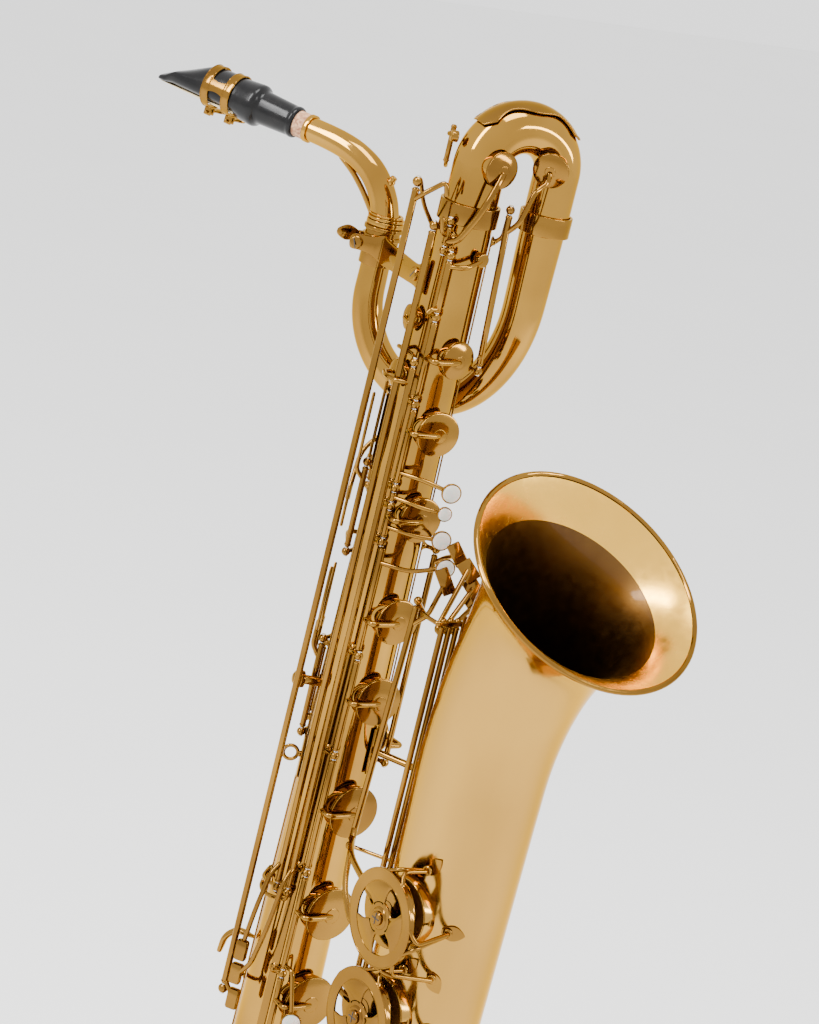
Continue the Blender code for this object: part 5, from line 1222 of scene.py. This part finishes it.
# the lower rib steps round the tone hole of the low E flat
jog = [(56, 0.300), (42, 0.292), (27, 0.284), (27, 0.246), (42, 0.2385), (56, 0.2310), (56, 0.1915)]
step = [rib(a[0], a[1], b[1], 0.0048, b[0]) for a, b in zip(jog, jog[1:])]
step += [disc(P(a, body_r(b) + GAP + 0.0003, b), D(a), 0.0024, 0.0016, 8) for a, b in jog[1:-1]]
posts("lower_stack_posts", 56, 0.2965, 0.689,
      [(L(z), 0.0034) for z in (0.684, 0.604, 0.508, 0.424, 0.350)],
      extra=step + post(L(0.282), 0.0034, 27, 0.2825) + post(K(-3, 38.5, 0.2382), 0.0034, 56, 0.2290, [around(50, 0.2375, 0.006)]) + post(K(-3, 38.5, 0.1938), 0.0034, 56, 0.1945))
posts("side_key_posts", 138, 0.2280, 1.0040,
      [(K(-21.5, 27, 1.0077), 0.0036), (K(-12.5, 33, 0.9087), 0.0034, [K(-14.5, 24, 0.9120), K(-27, 16, 0.9140)]),
       (K(-21.5, 27, 0.4883), 0.0036, [around(104, 0.486), around(122, 0.485)]),
       (K(-12.5, 33, 0.4883), 0.0034, [K(-12.5, 33, 0.4820), around(88, 0.4775), around(108, 0.4765), around(124, 0.477)]),
       (K(-40, 26, 1.0357), 0.0038, [K(-38, 20, 1.0357), K(-33, 9, 1.018)]), (K(-43.2, 30, 0.3986), 0.0038, [around(118, 0.3986, 0.012)]),
       (K(-43, 16.5, 0.3317), 0.0034, [around(128, 0.3317, 0.010)]), (K(-43, 16.5, 0.2343), 0.0034, [around(128, 0.2343, 0.010)])],
      0.0048,
      extra=[sweep([P(138, body_r(0.43) + 0.0012, 0.430), P(138, body_r(0.43) + 0.016, 0.432), P(138, body_r(0.43) + 0.024, 0.424),
                    P(138, body_r(0.43) + 0.026, 0.410)], [0.0022, 0.0040, 0.0042, 0.0036], 8, 0.6)])
posts("palm_key_posts", 153, 0.600, 0.915,
      [(K(-29.5, -3, z), 0.0033) for z in (0.8188, 0.7482)] + [(K(-25, -23, z), 0.0033) for z in (0.8717, 0.7963)]
      + [(K(-15, -31, z), 0.0033) for z in (0.9087, 0.8343)]
      + [(K(-31.0, -1, 0.6788), 0.0033), (K(-31.0, -1, 0.6032), 0.0033)]
      + [(K(-29.5, -16, z), 0.0033) for z in (0.6717, 0.6113)])
posts("left_side_posts", 310, 0.590, 1.0040,
      [(K(28.8, 8, 1.0278), 0.0033, [K(28.5, 2.5, 1.0268), K(28, 1.5, 1.006)]), (K(33.6, 8, 0.9075), 0.0033), (K(35.0, 4, 0.7678), 0.0033),
       (K(35.5, 4, 0.5963), 0.0033)], 0.0046)

# bell posts: a rib along the bell carries short bridges with the ball heads
bx = BELL_X - 0.0500
prims = [bar((bx, -0.0060, 0.234), (bx, -0.0060, 0.7515), 0.007, 0.0016, (1, 0, 0)),
         bar((bx - 0.0013, -0.0040, 0.745), (bx - 0.0013, -0.0245, 0.745), 0.004, 0.0016, (1, 0, 0))]
for i in range(3):
    b = brod(i, TABLE[i][2])
    prims.append(ball(b, 0.0029))
    prims.append(sweep([b, Vector((bx - 0.0010, b.y, b.z))], 0.0014, 6))
    b = brod(i, TABLE[i][3])
    prims.append(ball(b, 0.0029))
    prims.append(sweep([b, Vector((bx - 0.0012, b.y, b.z)), Vector((bx, -0.0060 - 0.001 * i, b.z))] if i else [b, Vector((bx, -0.0065, b.z))], 0.0015, 6))
bt, bb = K(30.6, 60, 0.7437), K(24.7, 60, 0.5473)
prims += [ball(bt, 0.0033), ball(bb, 0.0033),
          sweep([bt, Vector((0.098, -0.0300, 0.7450)), Vector((0.1125, -0.0290, 0.7450)), Vector((bx - 0.0010, -0.0230, 0.7450))], 0.0017, 5),
          sweep([bb, Vector((0.094, 0.0020, 0.5473)), Vector((0.104, 0.0038, 0.5473)), Vector((bx, -0.0040, 0.5473))], 0.0015, 5)]
solid("bell_posts", prims, "lacquer")

# guards over the two big cups on the bell, each on three feet
def leaf(ph, z, tilt, L, W):
    """Pointed leaf of sheet lying on the bell tube: ph falls and z follows the tilt."""
    vs, fs, NU, NW = [], [], 24, 6
    for sh in (0, 1):
        for i in range(NU + 1):
            u = -0.35 * L + 1.35 * L * i / NU
            half = W * max(0.04, math.sin(math.pi * min(1.0, (i + 1.5) / (NU + 1.5))) ** 0.8)
            for j in range(NW + 1):
                w = half * (2 * j / NW - 1)
                du, dz = u * math.cos(tilt) - w * math.sin(tilt), u * math.sin(tilt) + w * math.cos(tilt)
                zz = z + dz
                R = bell_tube_r(zz) + GAP + 0.0002 + 0.0011 * sh
                vs.append(P(ph - math.degrees(du / R), R, zz, BELL_X))
    o, k = (NU + 1) * (NW + 1), NW + 1
    for i in range(NU):
        for j in range(NW):
            q = i * k + j
            fs += [(q, q + 1, q + k + 1, q + k), (o + q, o + q + k, o + q + k + 1, o + q + 1)]
        for j in (0, NW):
            q = i * k + j
            fs.append((q, q + k, o + q + k, o + q))
    for j in range(NW):
        for i in (0, NU):
            q = i * k + j
            fs.append((q, q + 1, o + q + 1, o + q))
    return Prim(vs, fs)


def guard(name, zc):
    """Pierced key guard: rim, three broad spokes, hub with a cross-slot screw, three feet."""
    R = bell_tube_r(zc)
    n = D(90)
    c = P(80, R + 0.0262, zc, BELL_X)
    ex, ey = Vector((0, 0, 1)).cross(n).normalized(), Vector((0, 0, 1))
    prims = [turn([(0.0264, -0.0008), (0.0360, -0.0008), (0.0360, 0.0008), (0.0264, 0.0008)], c, n, 96, rad=0.0003),
             torus(c + n * 0.0004, n, 0.0354, 0.0007), torus(c + n * 0.0006, n, 0.0268, 0.0004),
             turn([(0, -0.0030), (0.0085, -0.0030), (0.0085, 0.0010), (0.0070, 0.0020), (0, 0.0020)], c, n, 56),
             turn([(0, -0.0008), (0.0122, -0.0008), (0.0122, 0.0008), (0, 0.0008)], c, n, 56, rad=0.0003),
             turn([(0, 0.0018), (0.0052, 0.0018), (0.0052, 0.0032), (0.0042, 0.0040), (0, 0.0042)], c, n, 40)]
    # the screw's cross slot: two near-black bars, painted shade
    for d1 in (ex, ey):
        prims.append(bar(c + n * 0.0041 - d1 * 0.0042, c + n * 0.0041 + d1 * 0.0042, 0.0010, 0.0006, n, "dark"))
    for a0 in (115, 235, 355):
        a = math.radians(a0)
        d = ex * math.cos(a) + ey * math.sin(a)
        s_ = ex * -math.sin(a) + ey * math.cos(a)
        o0 = [(rr * math.cos(math.radians(t)), rr * math.sin(math.radians(t)))
              for rr, ts_ in ((0.0105, (32, 16, 0, -16, -32)), (0.0190, (-31,)), (0.0268, (-37, -28, -19, -9, 0, 9, 19, 28, 37)), (0.0190, (31,)))
              for t in ts_]
        prims.append(plate(o0, c, d, s_, 0.0016))
    prims.append(ring(c - n * 0.0035, n, 0.0345, 0.0358, 0.0, 0.0036))
    for sx, ph, z in ((1, 66, zc + 0.0390), (1, 36, zc - 0.002), (1, 40, zc - 0.0390)):
        foot = P(ph, bell_tube_r(z) + GAP + 0.0012, z, BELL_X)
        d = (foot - c)
        d = (d - n * d.dot(n)).normalized()
        s2 = n.cross(d)
        edge = c + d * 0.0345
        out = edge + d * 0.006 - n * 0.004
        for sg in (-1, 1):                   # the strap forks where it meets the plate
            e2 = c + (d * math.cos(0.30 * sg) + s2 * math.sin(0.30 * sg)) * 0.0350
            prims.append(sweep([e2, out + s2 * sg * 0.0016, foot + D(ph) * 0.0040, foot + D(ph) * 0.0012], [0.0014, 0.0016, 0.0018, 0.0022], 8))
        dz, dp = foot.z - c.z, -1.0
        tilt = math.atan2(dz, 0.030)
        prims.append(leaf(ph, z, tilt, 0.013, 0.0055))
        prims.append(turn([(0, 0), (0.0036, 0), (0.0036, 0.0012), (0.0026, 0.0018), (0, 0.0019)], foot + D(ph) * 0.0008, D(ph), 40))
    solid(name, prims, "lacquer")


guard("low_B_guard", 0.548)
guard("low_B_flat_guard", 0.470)

# body-to-bell brace: a strut between two curved plates
zb = 0.606
xa, xb = body_r(zb) + GAP, BELL_X - bell_tube_r(zb) - GAP
ang = 200
prims = [None,
         bar(P(-28, body_r(zb - 0.018) + GAP + 0.0012, zb - 0.018), P(-28, body_r(zb + 0.018) + GAP + 0.0012, zb + 0.018), 0.010, 0.0014, D(-28)),
         bar(P(222, bell_tube_r(zb - 0.02) + GAP + 0.0011, zb - 0.020, BELL_X), P(222, bell_tube_r(zb + 0.02) + GAP + 0.0011, zb + 0.020, BELL_X), 0.012, 0.0014, D(222))]
prims[0] = (None,
            sweep([P(-28, xa + 0.0016, zb), P(-28, xa + 0.012, zb), Vector((0.060, 0.030, zb)), Vector((0.105, 0.037, zb)),
                   P(222, bell_tube_r(zb) + 0.010, zb, BELL_X), P(222, bell_tube_r(zb) + 0.0020, zb, BELL_X)], 0.0028, 8))[1]
solid("body_bell_brace", prims, "lacquer")

# strap ring and thumb rest on the player's side
rp = K(-35.0, 5, 0.5873)
sd = (rp - Vector((0, 0, rp.z))).normalized()
R = body_r(0.5873)
tor = []
for i in range(6):
    a = math.pi * 2 * i / 6
    tor.append((0.0055 + 0.0014 * math.cos(a), 0.0014 * math.sin(a)))
ringo = torus(rp, sd.cross(Vector((0, 0, 1))), 0.0055, 0.0014)
base_ph = math.degrees(math.atan2(-sd.y, sd.x))
solid("strap_ring", [ringo, sweep([sd * (R + GAP) + Vector((0, 0, rp.z)), sd * (rp.length and (Vector((rp.x, rp.y, 0)).length - 0.0052)) + Vector((0, 0, rp.z))], 0.0024, 8),
                     bar(P(base_ph, R + GAP + 0.0008, rp.z - 0.018), P(base_ph, R + GAP + 0.0008, rp.z + 0.018), 0.008, 0.0013, sd)], "lacquer")
tz = 0.6476
sd2 = D(114)
R = body_r(tz)
solid("thumb_rest", [disc(sd2 * (R + GAP) + Vector((0, 0, tz)), sd2, 0.0062, 0.0016, 12),
                     disc(sd2 * (R + 0.001) + Vector((0, 0, tz)), sd2, 0.0036, 0.0140, 10),
                     turn([(0, 0.0140), (0.0062, 0.0140), (0.0068, 0.0170), (0.0056, 0.0210), (0.0030, 0.0228), (0, 0.0232)],
                          sd2 * R + Vector((0, 0, tz)), sd2, 12)], "lacquer")
# guard plate laid over the outside of the crook, wavy along its edges
vs, fs = [], []
N1, N2 = 64, 20
for sh in (0, 1):
    for i in range(N1 + 1):
        a = math.radians(38 + 104 * i / N1)
        ctr = cu * (cr - math.cos(a) * cr) + Vector((0, 0, CROOK_ZC + math.sin(a) * cr))
        outw = (cu * (-math.cos(a)) + Vector((0, 0, math.sin(a))))
        side = cu.cross(Vector((0, 0, 1))).normalized()
        rt = 0.0194 - 0.0024 * (math.degrees(a) / 180)
        half = math.radians(34 + 7 * math.cos(4 * math.pi * i / N1)) * (0.55 + 0.45 * min(1.0, min(i, N1 - i) / 6.0))
        for j in range(N2 + 1):
            b = -half + 2 * half * j / N2
            r = rt + GAP + 0.0006 + 0.0011 * sh
            vs.append(ctr + outw * (r * math.cos(b)) + side * (r * math.sin(b)))
o = (N1 + 1) * (N2 + 1)
for i in range(N1):
    for j in range(N2):
        q = i * (N2 + 1) + j
        fs.append((q, q + 1, q + N2 + 2, q + N2 + 1))
        fs.append((o + q, o + q + N2 + 1, o + q + N2 + 2, o + q + 1))
for i in range(N1):
    for j in (0, N2):
        q, q2 = i * (N2 + 1) + j, (i + 1) * (N2 + 1) + j
        fs.append((q, q2, o + q2, o + q))
for j in range(N2):
    for i in (0, N1):
        q = i * (N2 + 1) + j
        fs.append((q, q + 1, o + q + 1, o + q))
edges = []
for j in (0, N2):
    edges.append(sweep([vs[o + i * (N2 + 1) + j] for i in range(0, N1 + 1, 2)], 0.0007, 8, smooth=False))
for i in (0, N1):
    edges.append(sweep([vs[o + i * (N2 + 1) + j] for j in range(0, N2 + 1, 2)], 0.0007, 8, smooth=False))
solid("crook_guard_plate", [Prim(vs, fs)] + edges, "lacquer")

# brace plate between the neck receiver and the body, with slotted screws
pb = P(104, body_r(0.966) + 0.0050, 0.966)
pa = P3(rc, 0.9655) + K(-17.0, 16.5, 0)     # left of the receiver, then along its front
pm = P3(rc, 0.9655) + K(3.5, 16.5, 0)
vert = Vector((0, 0, 1))
e0, L0 = (pm - pa).normalized(), (pm - pa).length
e1, L1 = (pb - pm).normalized(), (pb - pm).length
left = [(-0.0050, -0.0010), (-0.0050, 0.0030), (-0.0030, 0.0062), (0.0030, 0.0072), (0.012, 0.0078), (L0 + 0.0008, 0.0095),
        (L0 + 0.0008, -0.0095), (0.012, -0.0062), (0.004, -0.0048), (-0.0030, -0.0045)]
right = [(-0.0008, 0.0095), (0.010, 0.0085), (L1 - 0.012, 0.0070), (L1, 0.0085),
         (L1, -0.0085), (L1 - 0.010, -0.0090), (0.016, -0.0105), (-0.0008, -0.0095)]
bn0, bpn = e0.cross(vert).normalized(), e1.cross(vert).normalized()
if bn0.dot(K(0, 1, 0)) < 0:
    bn0 = -bn0
if bpn.dot(K(0, 1, 0)) < 0:
    bpn = -bpn
solid("brace_plate", [plate(left, pa, e0, vert, 0.0024), plate(right, pm, e1, vert, 0.0024),
                      turn([(0, 0), (0.0050, 0), (0.0050, 0.0030), (0.0040, 0.0040), (0, 0.0040)], pa + vert * 0.001, bn0, 12),
                      turn([(0, 0), (0.0052, 0), (0.0052, 0.0030), (0.0042, 0.0040), (0, 0.0040)], pb - e1 * 0.0058, bpn, 12),
                      # screw slots: near-black bars, painted shade
                      bar(pb - e1 * 0.0058 + bpn * 0.0039 - (e1 + vert) * 0.0030, pb - e1 * 0.0058 + bpn * 0.0039 + (e1 + vert) * 0.0030, 0.0011, 0.0005, bpn, "dark"),
                      bar(pa + e1 * 0.0055 + vert * 0.001 + bpn * 0.0039 - (e1 - vert) * 0.0030, pa + e1 * 0.0055 + vert * 0.001 + bpn * 0.0039 + (e1 - vert) * 0.0030, 0.0011, 0.0005, bpn, "dark"),
                      bar(P(104, body_r(0.966) + 0.0032, 0.979), P(104, body_r(0.966) + 0.0034, 0.953), 0.006, 0.0048, D(104))],
      "lacquer")

# octave pip key on the crook's left leg
ctr = Vector((0, 0, 1.060))
k = Key("crook_octave_key", P(143, 0.0252, 1.0480), P(143, 0.0252, 1.0760), 0.0020)
cpt = P(112, 0.0202, 1.0700)
k.add(disc(cpt + D(112) * 0.0006, D(112), 0.0042, 0.0050, 10))
k.arm([P(143, 0.0252, 1.0700), P(128, 0.0272, 1.0700), cpt + D(112) * 0.0040], 0.0016)
k.arm([P(143, 0.0252, 1.0500), P(158, 0.0275, 1.0440)], 0.0016)
k.done(1, [0, 10])

# --------------------------------------------------------------- studio stage
def stage_mat(name, color, rough):
    m, nt, b = new_mat(name)
    v = coords(nt)
    f = noise(nt, 3.0, 2.0, 0.5, v)
    c2 = tuple(x * 0.985 for x in color)
    link(nt, ramp(nt, f, [(0.3, (*c2, 1)), (0.7, (*color, 1))]), b.inputs["Base Color"])
    b.inputs["Roughness"].default_value = rough
    return m


def card(name, centre, ex, ey, w, h, mat):
    ex, ey, c = Vector(ex).normalized(), Vector(ey).normalized(), Vector(centre)
    vs = [tuple(c + ex * (sx * w / 2) + ey * (sy * h / 2)) for sx, sy in ((-1, -1), (1, -1), (1, 1), (-1, 1))]
    me = bpy.data.meshes.new(name)
    me.from_pydata(vs, [], [(0, 1, 2, 3)])
    me.materials.append(mat)
    ob = bpy.data.objects.new(name, me)
    bpy.context.scene.collection.objects.link(ob)
    return ob


A_, E_, ROLL_ = math.radians(51.25), math.radians(16.0), math.radians(13.61)
R0 = Vector((math.cos(A_), math.sin(A_), 0))
V_ = Vector((math.sin(A_) * math.cos(E_), -math.cos(A_) * math.cos(E_), math.sin(E_)))
U0 = V_.cross(R0)
RIGHT = R0 * math.cos(ROLL_) + U0 * math.sin(ROLL_)
UP = -R0 * math.sin(ROLL_) + U0 * math.cos(ROLL_)
TARGET = Vector((0, 0, 0.7875)) + RIGHT * 0.0097 - ORIGIN
cam_data = bpy.data.cameras.new("camera")
cam_data.sensor_width = 36.0
cam_data.sensor_fit = "AUTO"
cam_data.lens = 119.4
cam_data.clip_end = 60.0
cam = bpy.data.objects.new("camera", cam_data)
bpy.context.scene.collection.objects.link(cam)
rot = Matrix((RIGHT, UP, V_)).transposed()
cam.matrix_world = Matrix.Translation(TARGET + V_ * 2.5) @ rot.to_4x4()
bpy.context.scene.camera = cam

world = bpy.data.worlds.new("studio")
world.use_nodes = True
bg = world.node_tree.nodes["Background"]
bg.inputs["Color"].default_value = (1.0, 1.0, 1.0, 1)
bg.inputs["Strength"].default_value = 1.8
bpy.context.scene.world = world


def softbox(name, where, look, w, h, power, color=(1, 1, 1)):
    d = bpy.data.lights.new(name, "AREA")
    d.shape = "RECTANGLE"
    d.size, d.size_y, d.energy, d.color = w, h, power, color
    o = bpy.data.objects.new(name, d)
    bpy.context.scene.collection.objects.link(o)
    where, look = Vector(where), Vector(look)
    o.location = where
    o.rotation_euler = (look - where).to_track_quat("-Z", "Z").to_euler()
    return o


mid = Vector((0.05, 0.0, 0.15))
# seen from the camera: key light high on the left, fill on the right, a square softbox overhead
softbox("key_left", mid - R0 * 2.0 + V_ * 1.3 + Vector((0, 0, 1.6)), mid, 0.55, 2.1, 110)
softbox("fill_right", mid + R0 * 2.3 + V_ * 0.9 + Vector((0, 0, 0.7)), mid, 0.35, 2.3, 60)
softbox("top", mid + Vector((0, 0, 2.6)) + V_ * 0.3, mid, 1.2, 1.2, 60)
floor = stage_mat("floor_paper", (0.93, 0.93, 0.925), 0.7)
card("floor", Vector((0, 0, -0.5905)), (1, 0, 0), (0, 1, 0), 14, 14, floor)
